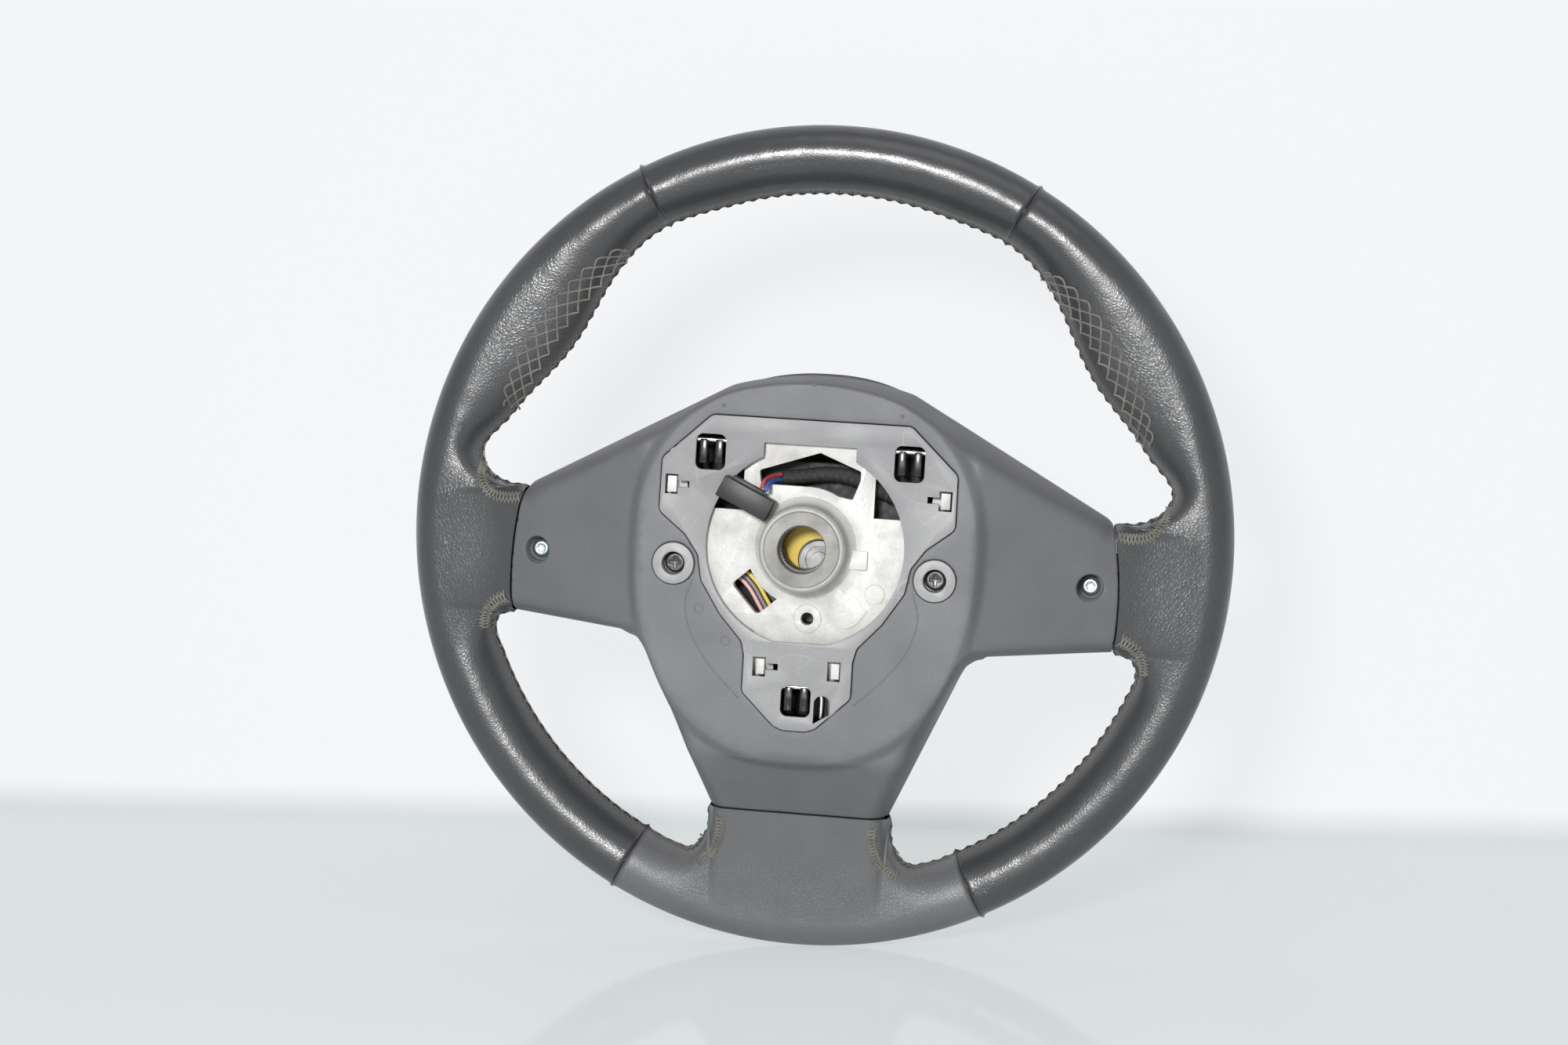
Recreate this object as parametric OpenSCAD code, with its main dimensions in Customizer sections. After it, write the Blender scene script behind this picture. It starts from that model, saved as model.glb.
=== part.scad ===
// Three-spoke car steering wheel, modelled upright. X is to the right as seen from the steering column,
// Y points from the column towards the driver, Z is up. The origin is the mouth of the column bore.

/* [Rim] */
// Outer diameter of the rim
rim_d = 370; // [360:1:385]
// Width of the plain rim tube, measured towards the hub
tube_w = 29.5; // [27:0.5:32]
// Depth of the rim tube along the column axis
tube_d = 32; // [29:0.5:34]
// Distance from the bore mouth to the middle plane of the rim
rim_y = 70; // [67:1:76]
// Extra width of the thumb rests
thumb_w = 13; // [8:0.5:15]
// Angle of the thumb rests above the horizontal
thumb_ang = 34; // [31:1:37]
// Half span of a thumb rest in degrees
thumb_span = 24; // [20:1:26]
// Narrowing of the tube just above the thumb rests
neck_w = 2; // [0:0.5:3]
// Angle from the top of the rim to the upper leather seams
seam_top = 28.9; // [25:0.1:30]
// Angle from the bottom of the rim to the lower leather seams
seam_bot = 27.3; // [26:0.1:30]
// Thickness of the leather
leather_t = 1.3; // [1:0.1:1.6]
// Gap between two edges of leather that meet
seam_gap = 0.4; // [0.2:0.1:0.6]
// Clearance between the leather and the foam
foam_gap = 0.2; // [0.05:0.05:0.3]

/* [Spokes] */
// Distance from the wheel's centre to the leather edge on the side spokes
root_x = 133; // [131:0.5:135]
// Bulge of that edge towards the rim
root_bulge = 2.5; // [0:0.5:4]
// Height of the side spokes' upper flank at the leather edge
root_up = 15.6; // [13:0.2:18]
// Depth below centre of the side spokes' lower flank at the leather edge
root_down = 40.5; // [38:0.5:43]
// Distance from the wheel's centre down to the leather edge on the lower spoke
low_z = 121; // [118:0.5:124]
// Half width of the lower spoke at the leather edge
low_half = 40.3; // [38:0.1:43]
// Rear face of the side spokes at the leather edge
side_rear = 46; // [44:0.5:48]
// Rear face of the lower spoke at the leather edge
low_rear = 42; // [40:0.5:45]
// Front face of the spokes
spoke_front = 72; // [71:0.5:75]
// Parting plane between the rear cover and the front parts
part_y = 59; // [57:0.5:60]
// Width of the rounded edge of the spokes
edge_w = 9; // [7:0.5:11]

/* [Rear cover] */
// Rear face of the cover's raised middle
cover_y = 12.5; // [11:0.5:13]
// Wall of the cover
cover_t = 2.4; // [2:0.1:3]
// Half width of the raised middle
egg_x = 73; // [71:0.5:75]
// Height of the raised middle above centre
egg_up = 70; // [69:0.5:71]
// Depth of the raised middle below centre
egg_down = 93; // [90:0.5:96]
// Height of the step round the raised middle
egg_step = 4; // [2:0.5:6]
// Top of the cover above the centre
hub_top = 73.5; // [73:0.1:75]
// Gap between the cover and what it meets
shut_gap = 0.4; // [0.3:0.05:0.8]

/* [Hub plate] */
// Rear face of the hub plate
plate_y = 12; // [11:0.5:12.5]
// Thickness of the hub plate
plate_t = 2.5; // [2:0.1:3]
// Radius of the round cut-out
cut_r = 43; // [41:0.5:44]
// Width of the release windows
win_w = 13; // [11:0.5:14]
// Height of the upper release windows
win_h = 15.5; // [14:0.5:16]
// Distance of the upper release windows from centre, sideways
win_x = 43; // [42:0.5:44]
// Height of the upper release windows' centres
win_z = 38.7; // [38:0.1:39.5]
// Depth of the lower release window's centre
win_low = 66.7; // [66:0.1:67.5]

/* [Casting] */
// Rear face of the hub casting
cast_y = 17; // [16.6:0.1:17.4]
// Thickness of the hub casting
cast_t = 6; // [5:0.5:6.5]
// Outer radius of the boss
boss_r = 18.5; // [18:0.1:20]
// Outer radius of the splined bush
bush_r = 16; // [14.5:0.1:16.5]
// Radius of the plain pilot bore
bore_r = 10.2; // [10.1:0.05:10.6]
// Length of the pilot bore, with its lead-in chamfer
pilot_l = 8; // [6:0.5:10]
// Root radius of the serrations
serr_r = 10; // [9.8:0.05:10.05]
// Depth of the serrations
serr_h = 0.7; // [0.5:0.05:0.9]
// Number of serrations
serr_n = 60; // [48:1:72]
// Width of the cast rim ring
ring_w = 13; // [10:0.5:14]

/* [Screws] */
// Sideways place of the deep screws
sleeve_x = 56.7; // [56:0.1:57.5]
// Height of the deep screws
sleeve_z = -10.5; // [-11.5:0.1:-9.5]
// Outer radius of the screw sleeves
sleeve_r = 9; // [8:0.1:9.5]
// Sideways place of the spoke screws
torx_x = 123; // [121:0.5:124]
// Height of the spoke screws
torx_z = -11.3; // [-13:0.1:-10]
// Radius of the spoke screw recess
torx_r = 5.7; // [5.4:0.1:6]
// Depth of the spoke screw recess
torx_depth = 6.5; // [6:0.1:7]

/* [Airbag module] */
// Half width of the airbag cover
pad_x = 72.5; // [71:0.5:74]
// Top of the airbag cover above centre
pad_up = 74.3; // [74:0.1:75]
// Bottom of the airbag cover below centre
pad_down = 88; // [86:0.5:90]
// Crown of the airbag cover
pad_front = 82; // [80:0.5:84]
// Wall of the airbag cover
pad_t = 3; // [2.5:0.1:3.5]
// Travel of the airbag module when the horn is pressed
horn_travel = 2.2; // [1.5:0.1:2.5]
// Rear face of the module's canister
can_y = 36; // [35.5:0.5:37]
// Half width of the canister
can_x = 50; // [48:0.5:50]
// Outer radius of the inflator
inflator_r = 28; // [26:0.5:29]

/* [Switches] */
// Sideways centre of a switch pack
switch_x = 101; // [100:0.5:102]
// Height of a switch pack's centre
switch_z = -9; // [-10:0.5:-8]
// Width of the push buttons
button_w = 30; // [26:0.5:32]
// Height of the push buttons
button_h = 7; // [6:0.2:8]
// Clearance round a button
button_gap = 0.35; // [0.3:0.05:0.5]
// Travel of a push button
button_travel = 0.8; // [0.5:0.1:1]

/* [Hidden] */
$fn = 48;

rim_r = rim_d / 2;
ring_r = rim_r - tube_w / 2;
eps = 0.01;

// Small helpers

function lerp(a, b, t) = a + (b - a) * t;
function clamp01(v) = max(0, min(1, v));
function smooth(v) = let (c = clamp01(v)) c * c * (3 - 2 * c);
function bez(p, t) = pow(1 - t, 3) * p[0] + 3 * t * pow(1 - t, 2) * p[1]
    + 3 * t * t * (1 - t) * p[2] + pow(t, 3) * p[3];
function unit(v) = v / norm(v);
function polar(r, a) = [r * cos(a), r * sin(a)];
function quarter(v) = sqrt(1 - pow(1 - clamp01(v), 2));
function seg_dist(p, a, b) = let (d = b - a, t = clamp01(((p - a) * d) / (d * d))) norm(p - a - t * d);
function chain_dist(p, c) = min([for (i = [0:len(c) - 2]) seg_dist(p, c[i], c[i + 1])]);
function reversed(v) = [for (i = [len(v) - 1:-1:0]) v[i]];
function flat(v) = [for (a = v) for (b = a) b];

// A plate drawn in X and Z, filled from depth y0 to depth y1
module plan(y0, y1) {
    translate([0, y1, 0]) rotate([90, 0, 0]) linear_extrude(y1 - y0) children();
}

// A solid of revolution about the Y axis through x, z. Its profile is radius against depth
module turned(profile, x = 0, z = 0) {
    translate([x, 0, z]) rotate([-90, 0, 0]) rotate_extrude() polygon(profile);
}

module rod(r, y0, y1, x = 0, z = 0) {
    translate([x, y1, z]) rotate([90, 0, 0]) cylinder(r = r, h = y1 - y0);
}

module both_sides() {
    children();
    mirror([1, 0, 0]) children();
}

module rounded(w, h, r) {
    offset(r = r) square([w - 2 * r, h - 2 * r], center = true);
}

// Triangles between closed loops of n points each, split along one diagonal or the other
function skin_faces(rings, n, turn = 0, other = false) = flat([for (i = [0:rings - 2]) for (k = [0:n - 1])
    let (j = turn > 0 ? (i + 1) % turn : i + 1, m = (k + 1) % n,
         a = i * n + k, b = i * n + m, c = j * n + k, d = j * n + m)
    other ? [[a, c, b], [b, c, d]] : [[a, d, b], [a, c, d]]]);

// A row of closed loops joined into one solid, with the same cap on its first and last loop
module skin(loops, cap) {
    n = len(loops[0]);
    last = (len(loops) - 1) * n;
    end = [for (f = cap) [for (k = reversed(f)) k + last]];
    polyhedron(flat(loops), concat(skin_faces(len(loops), n), cap, end));
}

// A row of closed loops whose last loop joins the first
module closed_skin(loops, other = false) {
    polyhedron(flat(loops), skin_faces(len(loops) + 1, len(loops[0]), len(loops), other));
}

// A round tube along a list of points
function tube_loop(path, i, r, sides) =
    let (a = path[max(0, i - 1)], b = path[min(len(path) - 1, i + 1)], t = unit(b - a),
         u = unit(cross(t, [0.1, 1, 0.2])), v = cross(t, u))
    [for (k = [0:sides - 1]) path[i] + r * (cos(360 * k / sides) * u + sin(360 * k / sides) * v)];

module tube(path, r, sides = 8) {
    skin([for (i = [0:len(path) - 1]) tube_loop(path, i, r, sides)], [[for (k = [0:sides - 1]) k]]);
}

// Plan of the spokes

root_top = [root_x - 1.5, root_up];
root_low = [root_x + 1.5, -root_down];
function root_curve(t) = lerp(root_top, root_low, t) + [root_bulge * 4 * t * (1 - t), 0];

hub_side = [40, hub_top - 6];
shoulder = root_top + [-2.4, 2.7];
upper_edge = [[0, hub_top], [20, hub_top - 1.4], hub_side, shoulder, root_top];
crotch_out = [76, -root_down - 6.7];
crotch_in = [68.5, -root_down - 15];
crotch_mid = [71, -root_down - 10.2];
low_corner = [low_half, -low_z];
lower_edge = [root_low, crotch_out, crotch_mid, crotch_in, low_corner];
egg_n = 2.3;

function egg_ratio(p, w, up, down) =
    pow(pow(abs(p.x) / w, egg_n) + pow(abs(p.y) / (p.y > 0 ? up : down), egg_n), 1 / egg_n);
function past_egg(p) = norm(p) * (1 - 1 / egg_ratio(p, egg_x, egg_up, egg_down));
function egg_point(a, w, up, down) = let (u = polar(1, a)) u / egg_ratio(u, w, up, down);
function edge_dist(p) = let (q = [abs(p.x), p.y]) min(chain_dist(q, upper_edge), chain_dist(q, lower_edge));
function edge_width(p) = max(3, min(edge_w, 3 + 0.9 * past_egg(p)));
function edge_fill(p, inset = 0) =
    let (w = edge_width(p)) quarter((edge_dist(p) - inset) / (w - inset));

// Rear surface of the cover before its edge is rounded
side_slope = side_rear - cover_y - egg_step;
low_slope = low_rear - cover_y - egg_step;
function rear_surface(p) = cover_y + egg_step * smooth(past_egg(p) / 6)
    + side_slope * max(0, abs(p.x) - egg_x) / (root_x - egg_x)
    + low_slope * max(0, -p.y - egg_down) / (low_z - egg_down);
function cover_depth(p) = lerp(part_y, rear_surface(p), edge_fill(p));
function cover_inside(p) = lerp(part_y, rear_surface(p) + cover_t, edge_fill(p, cover_t));
function front_depth(p) = lerp(part_y, spoke_front, edge_fill(p));

// Rim sections. A station is its inner point in plan, the angle of its outer point, how far its middle
// has moved to the parting plane, and how far it has opened onto a spoke

inner_q = [1, 0.93, 0.72, 0.38, 0];
outer_phi = [30, 60, 90];
sec_last = 14;
tube_mid = tube_w / 2;

function grip_bump(v) = abs(v) < 1 ? pow(cos(90 * v), 2) : 0;
function inner_r(a) = let (b = 90 - abs(a - 90))
    rim_r - tube_w - thumb_w * grip_bump((b - thumb_ang) / thumb_span)
    + neck_w * grip_bump((b - 90 + seam_top) / 9);

function sec_point(st, k, inset, lip) =
    let (m = k <= 7 ? k : sec_last - k,
         side = k < 7 ? -1 : (k > 7 ? 1 : 0),
         out = polar(rim_r, st[1]),
         w = norm(out - st[0]),
         dir = (st[0] - out) / w,
         open = st[3],
         reach = w - (open > 0 ? 0 : inset),
         q = m <= 4 ? inner_q[m] : 0,
         phi = m <= 4 ? 0 : outer_phi[m - 5],
         u = m <= 4 ? tube_mid + (reach - tube_mid) * q : inset + (tube_mid - inset) * (1 - sin(phi)),
         half = tube_d / 2 - inset,
         mid = rim_y + (part_y - rim_y) * st[2] * q * q,
         round_y = mid + side * (m == 0 ? lip / 2 : half * (m <= 4 ? sqrt(1 - q * q) : cos(phi))),
         spoke_y = side < 0 ? rear_surface(st[0]) + inset : spoke_front - inset,
         open_y = lerp(rim_y + side * half, spoke_y, pow(q, 1.3)),
         p = out + dir * u)
    [p.x, m <= 4 ? lerp(round_y, open_y, open) : round_y, p.y];

// Half a turn of the rim, from the top seam down the right side to the lower seam
seam_a = atan(seam_gap / 2 / rim_r);
right_top = 90 - seam_top;
right_low = -90 + seam_bot;
fillet_top_a = 13;
fillet_low_a = -23.2;
open_steps = [0, 0.02, 0.07, 0.16, 0.36, 0.64, 0.84, 0.93, 0.98, 1];
upper_fillet = [polar(rim_r - 25, fillet_top_a), [rim_r - 24, root_up + 3.6],
                [root_x + 9, root_up - 1], root_top];
lower_fillet = [root_low, [rim_r - 38, -root_down - 1.5], [rim_r - 37.5, -root_down - 11.5],
                polar(inner_r(fillet_low_a), fillet_low_a)];
function plain(a0, a1, n) = [for (i = [0:n]) let (a = lerp(a0, a1, i / n)) [polar(inner_r(a), a), a, 0, 0]];
function opening(p) = quarter(edge_dist(p) / edge_w);
function flank(curve, a0, a1, m0, m1, n) =
    [for (i = [1:n]) let (t = i / n) [bez(curve, t), lerp(a0, a1, t), lerp(m0, m1, t), 0]];

upper_end = atan((root_up - 4.5) / rim_r);
lower_end = atan((-root_down - 2.5) / rim_r);
right_stations = concat(
    plain(right_top - seam_a, fillet_top_a + 5, 9),
    flank(upper_fillet, fillet_top_a, upper_end, 0, 1, 6),
    [for (t = [for (i = [1:len(open_steps) - 2]) open_steps[i]])
        [root_curve(t), lerp(upper_end, lower_end, t), 1, opening(root_curve(t))]],
    reversed(flank(reversed(lower_fillet), fillet_low_a, lower_end, 0, 1, 5)),
    plain(fillet_low_a, right_low + seam_a, 8));

low_fillet_a = -69.5;
low_end = -90 + atan((low_half - 2) / rim_r);
low_fillet = [polar(inner_r(low_fillet_a), low_fillet_a), [low_half + 5.7, -low_z - 25],
              [low_half - 0.3, -low_z - 16], low_corner];
function low_curve(t) = [lerp(low_half, -low_half, t), -low_z];
bottom_half = concat(
    plain(right_low - seam_a, low_fillet_a + 2, 1),
    flank(low_fillet, low_fillet_a, low_end, 0, 1, 6),
    [for (t = [0.025, 0.09, 0.19, 0.34])
        [low_curve(t), lerp(low_end, -180 - low_end, t), 1, opening(low_curve(t))]]);

function mirrored(st) = [[-st[0].x, st[0].y], 180 - st[1], st[2], st[3]];
function mirrored_back(v) = [for (s = reversed(v)) mirrored(s)];
bottom_stations = concat(bottom_half, [[[0, -low_z], -90, 1, 1]], mirrored_back(bottom_half));
left_stations = mirrored_back(right_stations);
top_stations = plain(180 - right_top - seam_a, right_top + seam_a, 12);

function leather_loop(st) = concat(
    [for (k = [0:sec_last]) sec_point(st, k, 0, seam_gap)],
    [for (k = [sec_last:-2:0]) sec_point(st, k, leather_t, seam_gap)]);
function foam_loop(st) = [for (k = [0:2:sec_last]) sec_point(st, k, leather_t + foam_gap, 2 * seam_gap)];

leather_loop_n = sec_last + 1 + sec_last / 2 + 1;
function strip_cap() = flat([for (j = [0:2:sec_last - 2])
    let (i0 = leather_loop_n - 1 - j / 2, i1 = i0 - 1) [[j, j + 1, i0], [j + 1, i1, i0], [j + 1, j + 2, i1]]]);

module panel(stations) {
    skin([for (s = reversed(stations)) leather_loop(s)], strip_cap());
}

// Armature

arm_rear = [[40, cast_y], [50, cast_y + 0.5], [62, cast_y + 5], [125, 56], [ring_r - 2, rim_y - 6]];
arm_front = [[ring_r - 2, rim_y + 6], [120, 61], [62, 31], [50, cast_y + cast_t + 1], [40, cast_y + cast_t]];
arm_plan = [[40, 10], [52, 12], [54, 29], [64, 29], [67, 8], [110, 2], [140, 3], [ring_r - 2, 8],
            [ring_r - 2, -30], [140, -26], [110, -24], [67, -26], [40, -32]];
leg_rear = [[40, cast_y], [50, cast_y + 0.5], [62, 24], [115, 55], [ring_r - 2, rim_y - 6]];
leg_front = [[ring_r - 2, rim_y + 6], [112, 67], [62, 35], [50, cast_y + cast_t + 1], [40, cast_y + cast_t]];
leg_plan = [[11.5, -38], [22, -38], [21, -110], [26, 2 - ring_r], [9, 2 - ring_r], [11, -110]];
sleeve_seat = 20;
lug_y = 13.3;
tower_x = 28.5;
tower_z = 51;
cast_r = 50;
torx_seat = side_rear + torx_depth + 2;
torx_wall = 1.6;

module arm(grow = 0) {
    intersection() {
        translate([0, 0, -40]) linear_extrude(80) offset(delta = grow) polygon(concat(arm_rear, arm_front));
        plan(0, 100) offset(delta = grow) polygon(arm_plan);
    }
}

module legs(grow = 0) {
    both_sides() intersection() {
        translate([0, 0, 0]) rotate([0, 90, 0]) linear_extrude(40)
            offset(delta = grow) polygon(concat(leg_rear, leg_front));
        plan(0, 100) offset(delta = grow) polygon(leg_plan);
    }
}

ring_section = [[-0.5, -0.46], [0.38, -0.46], [0.5, -0.3], [0.5, 0.3], [0.38, 0.46], [-0.5, 0.46],
                [-0.5, 0.22], [-0.15, 0.15], [-0.15, -0.15], [-0.5, -0.22]];

module casting_plan() {
    difference() {
        union() {
            intersection() {
                circle(r = cast_r);
                translate([-60, -60]) square([120, 74.2]);
            }
            translate([-tower_x, 0]) square([2 * tower_x, tower_z]);
        }
        circle(r = boss_r + 2);
        offset(r = 1.2) offset(delta = -1.2)
            polygon([[-22, 32], [4, 41], [22, 34], [22, 30], [19, 21.5], [8, 23.5], [-3, 26], [-21, 26]]);
        translate([-20.7, -20.2]) rotate(-48) offset(r = 2) square([13.5, 9], center = true);
        translate([2.5, -31]) circle(r = 2.8);
    }
}

module armature() color("gainsboro") {
    boss_profile = [[bush_r, 0.6], [bush_r + 0.6, 0], [boss_r - 1, 0], [boss_r, 1], [boss_r, 9],
                    [boss_r + 1, 13], [boss_r + 3.5, 16], [boss_r + 7.5, cast_y],
                    [boss_r + 7.5, cast_y + cast_t], [bush_r, cast_y + cast_t]];
    difference() {
        union() {
            plan(cast_y, cast_y + cast_t) casting_plan();
            turned(boss_profile);
            both_sides() arm();
            legs();
            rotate([-90, 0, 0]) rotate_extrude($fn = 96)
                polygon([for (p = ring_section) [ring_r + p.x * ring_w, rim_y + p.y * ring_w]]);
            both_sides() {
                rod(sleeve_r - 0.6, sleeve_seat, 27, sleeve_x, sleeve_z);
                rod(5.5, torx_seat, 60, torx_x, torx_z);
                plan(lug_y, 28) translate([57.3, 20.3]) square([3.9, 6.9]);
                plan(lug_y, 22) translate([14.6, -56]) square([3.4, 6.6]);
            }
            turned([[2.8, cast_y - 0.8], [6, cast_y - 0.8], [6.6, cast_y + 1], [2.8, cast_y + 1]], 2.5, -31);
            turned([[0, cast_y - 0.7], [4.2, cast_y - 0.7], [4.8, cast_y + 1], [0, cast_y + 1]], 31, -18.5);
            plan(cast_y - 1, cast_y + 1) pad_d();
            plan(cast_y - 2.6, cast_y + 1) translate([19.5, -8]) square([7.5, 8]);
        }
        both_sides() rod(2.5, sleeve_seat - 1, 32, sleeve_x, sleeve_z);
        both_sides() rod(sleeve_r, 0, sleeve_seat, sleeve_x, sleeve_z);
        both_sides() rod(torx_r + torx_wall + shut_gap, side_rear - 8, torx_seat, torx_x, torx_z);
        both_sides() rod(2.3, torx_seat - 1, 66, torx_x, torx_z);
    }
}

module pad_d() {
    translate([18.5, -26.5]) rotate(-35) {
        circle(r = 7.6);
        translate([-7.6, 0]) square([15.2, 6]);
    }
}

module spline_bush() color("silver") {
    len = cast_y + cast_t + 1;
    difference() {
        rod(bush_r, 0, len);
        turned([[0, -1], [bore_r + 0.4, -1], [bore_r + 0.4, 0], [bore_r, 0.4], [bore_r, pilot_l], [0, pilot_l]]);
        plan(pilot_l - eps, len - 3) polygon([for (i = [0:2 * serr_n - 1])
            polar(i % 2 == 0 ? serr_r : serr_r - serr_h, 180 * i / serr_n)]);
        rod(serr_r + 1, len - 3 - eps, len + 1);
    }
}

module rim_foam() color("dimgray") {
    all = concat(top_stations, right_stations, bottom_stations, left_stations);
    difference() {
        closed_skin([for (s = reversed(all)) foam_loop(s)], true);
        rotate([-90, 0, 0]) rotate_extrude($fn = 96)
            translate([ring_r - ring_w / 2 - 0.25, rim_y - ring_w / 2])
                square([ring_w + 0.5, ring_w]);
        both_sides() arm(0.25);
        legs(0.25);
    }
}

module leather_top() color("dimgray") panel(top_stations);
module leather_right() color("dimgray") panel(right_stations);
module leather_left() color("dimgray") panel(left_stations);
module leather_bottom() color("gray") panel(bottom_stations);

// Rear cover. Each sample of its outline is a point and whether it lies on a leather edge

outline_right = concat(
    [for (x = [0:10:30]) [[x, hub_top - 6 * pow(x / hub_side.x, 2)], false]],
    [for (t = [0:0.2:0.8]) [lerp(hub_side, shoulder, t), false]],
    [[shoulder, false], [root_top - [shut_gap, 0], false]],
    [for (t = [0.07, 0.16, 0.36, 0.64, 0.84, 0.93]) [root_curve(t) - [shut_gap, 0], true]],
    [[root_low - [shut_gap, 0], false]],
    [for (t = [0.3, 0.65]) [lerp(root_low, crotch_out, t), false]],
    [[crotch_out, false], [crotch_mid, false], [crotch_in, false]],
    [for (t = [0.3, 0.6, 0.85]) [lerp(crotch_in, low_corner, t), false]],
    [[low_corner + [0, shut_gap], false]],
    [for (t = [0.09, 0.19, 0.34]) [low_curve(t) + [0, shut_gap], true]]);
outline_left = [for (s = reversed([for (i = [1:len(outline_right) - 1]) outline_right[i]])) [[-s[0].x, s[0].y], s[1]]];
outline = concat(outline_right, [[[0, shut_gap - low_z], true]], outline_left);
outline_n = len(outline);

function outline_normal(i) =
    let (a = outline[(i + outline_n - 1) % outline_n][0], p = outline[i][0], b = outline[(i + 1) % outline_n][0],
         t = unit(unit(b - p) + unit(p - a)))
    [t.y, -t.x];
function inward(i, d) = outline[i][0] + d * outline_normal(i);
function side_len(i) = norm(outline[(i + 1) % outline_n][0] - outline[i % outline_n][0]);
function sample_width(i) = max(3, min(edge_w, 0.85 * past_egg(outline[i][0]),
                                     1.15 * min(side_len(i), side_len(i + outline_n - 1))));
function egg_under(p) = egg_point(atan2(p.y, p.x), egg_x, egg_up, egg_down);

function at(p, y) = [p.x, y, p.y];
function cover_loop(i) =
    let (w = sample_width(i), q = inward(i, w), e = egg_under(q), m = lerp(q, e, 0.55), f = lerp(e, q, 0.12),
         s = outline[i][1] ? 0 : cover_t, c = polar(12, atan2(q.y, q.x)))
    concat(
        [for (d = [0, 0.08, 0.35, 1]) let (p = inward(i, d * w)) at(p, cover_depth(p))],
        [at(m, cover_depth(m)), at(f, cover_depth(f)), at(e, cover_y), at(c, cover_y), at(c, cover_y + cover_t),
         at(e * 0.97, cover_y + cover_t), at(m * 0.99, cover_inside(m))],
        [for (d = [1, 0.4]) let (p = inward(i, s + d * (w - s))) at(p, cover_inside(p))],
        [let (p = inward(i, s)) at(p, outline[i][1] ? cover_inside(p) : part_y)]);

module rear_cover() color("gray") {
    cup_floor = side_rear + torx_depth;
    difference() {
        union() {
            closed_skin([for (i = [0:outline_n - 1]) cover_loop(i)]);
            both_sides() rod(torx_r + torx_wall, side_rear - 1, torx_seat, torx_x, torx_z);
        }
        plan(0, 30) offset(delta = shut_gap) plate_outline();
        both_sides() {
            rod(sleeve_r + 0.3, 0, 30, sleeve_x, sleeve_z);
            rod(torx_r, side_rear - 20, cup_floor, torx_x, torx_z);
            rod(2.4, cup_floor - 1, torx_seat + 1, torx_x, torx_z);
        }
    }
}

// Hub plate

module plate_outline() {
    side = [[43, 54.7], [63.8, 35], [64, 12], [52, 2.5], [46, -6], [44, -17], [35, -31], [25, -42],
            [23.5, -48], [23.5, -64], [9, -78], [5, -79.5]];
    offset(r = 4, $fn = 32) offset(r = -7, $fn = 32) offset(r = 3, $fn = 32)
        polygon(concat(side, [for (p = reversed(side)) [-p.x, p.y]]));
}

module cut_out() {
    intersection() {
        circle(r = cut_r);
        translate([-50, -41.5]) square([100, 100]);
    }
    translate([-20, 20]) square([40, 24.2]);
}

module hub_plate() color("darkgray") {
    difference() {
        plan(plate_y, plate_y + plate_t) plate_outline();
        plan(0, 30) {
            cut_out();
            for (s = [-1, 1]) translate([s * win_x, win_z]) rounded(win_w, win_h, 3);
            translate([0, -win_low]) rounded(win_w, win_h - 2, 3);
            for (s = [-1, 1]) translate([s * 59.3, 23.8]) square([5.6, 8.5], center = true);
            for (s = [-1, 1]) translate([s * 54.5, 24]) square([6, 2.8], center = true);
            translate([-16.7, -52.7]) square([5.6, 8.5], center = true);
            translate([-11.5, -52.4]) square([6, 2.8], center = true);
            translate([15.8, -52.7]) square([5.6, 8.5], center = true);
            translate([11.5, -67]) circle(r = 3.5);
            polygon([[8, -67], [15, -67], [15, -71.5], [8, -76]]);
        }
    }
    plan(plate_y + plate_t, cast_y) difference() {
        intersection() {
            difference() {
                circle(r = cut_r + 2.5);
                circle(r = cut_r);
            }
            translate([-60, -38]) square([120, 44]);
        }
        translate([-1, -60]) square([2, 30]);
    }
    for (s = [-1, 1]) plan(plate_y + plate_t, cast_y) translate([s * 23.5, 47]) square([6, 5], center = true);
}

// Wire springs that hold the module's hooks

wire_r = 1.1;
spring_y = plate_y + plate_t + wire_r + 0.2;
hook_nose = 5.8;
function spring_path() = concat(
    [[-11, -7], [-11, 1]],
    [for (a = [165:-30:105]) [-6, 0.8] + 5 * [cos(a), sin(a)]],
    [[-3, hook_nose], [3, hook_nose]],
    [for (a = [75:-30:15]) [6, 0.8] + 5 * [cos(a), sin(a)]],
    [[11, 1], [11, -7]]);

module spring_wire() {
    tube([for (p = spring_path()) [p.x, spring_y, p.y]], wire_r, 6);
}

module retaining_springs() color("silver") {
    for (s = [-1, 1]) translate([s * win_x, 0, win_z - 0.7]) spring_wire();
    translate([0, 0, -win_low]) spring_wire();
}

// Screws

module screw_sleeves() color("darkgray") both_sides() difference() {
    union() {
        rod(sleeve_r, plate_y - 0.3, plate_y + 3, sleeve_x, sleeve_z);
        rod(sleeve_r - 1.2, plate_y + 2, sleeve_seat, sleeve_x, sleeve_z);
    }
    rod(5, 0, sleeve_seat + 1, sleeve_x, sleeve_z);
}

module cross_screw(y) {
    difference() {
        turned([[0, y], [3.6, y], [4.6, y + 1.2], [4.6, y + 2.8], [2.4, y + 2.8], [2.4, y + 14], [0, y + 14]]);
        plan(y - 1, y + 1.5) {
            square([5.4, 1.3], center = true);
            square([1.3, 5.4], center = true);
        }
    }
}

module sleeve_screws() color("dimgray") both_sides()
    translate([sleeve_x, 0, sleeve_z]) cross_screw(sleeve_seat - 2.9);

star_len = 12;
module star_screw(y) {
    difference() {
        turned([[0, y], [2.9, y], [4.2, y + 1], [4.4, y + 2.4], [2.2, y + 2.4],
                [2.2, y + star_len], [0, y + star_len]]);
        plan(y - 1, y + 1.6) {
            circle(r = 1.5);
            for (a = [0:60:120]) rotate(a) square([4.1, 1], center = true);
        }
    }
}

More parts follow.
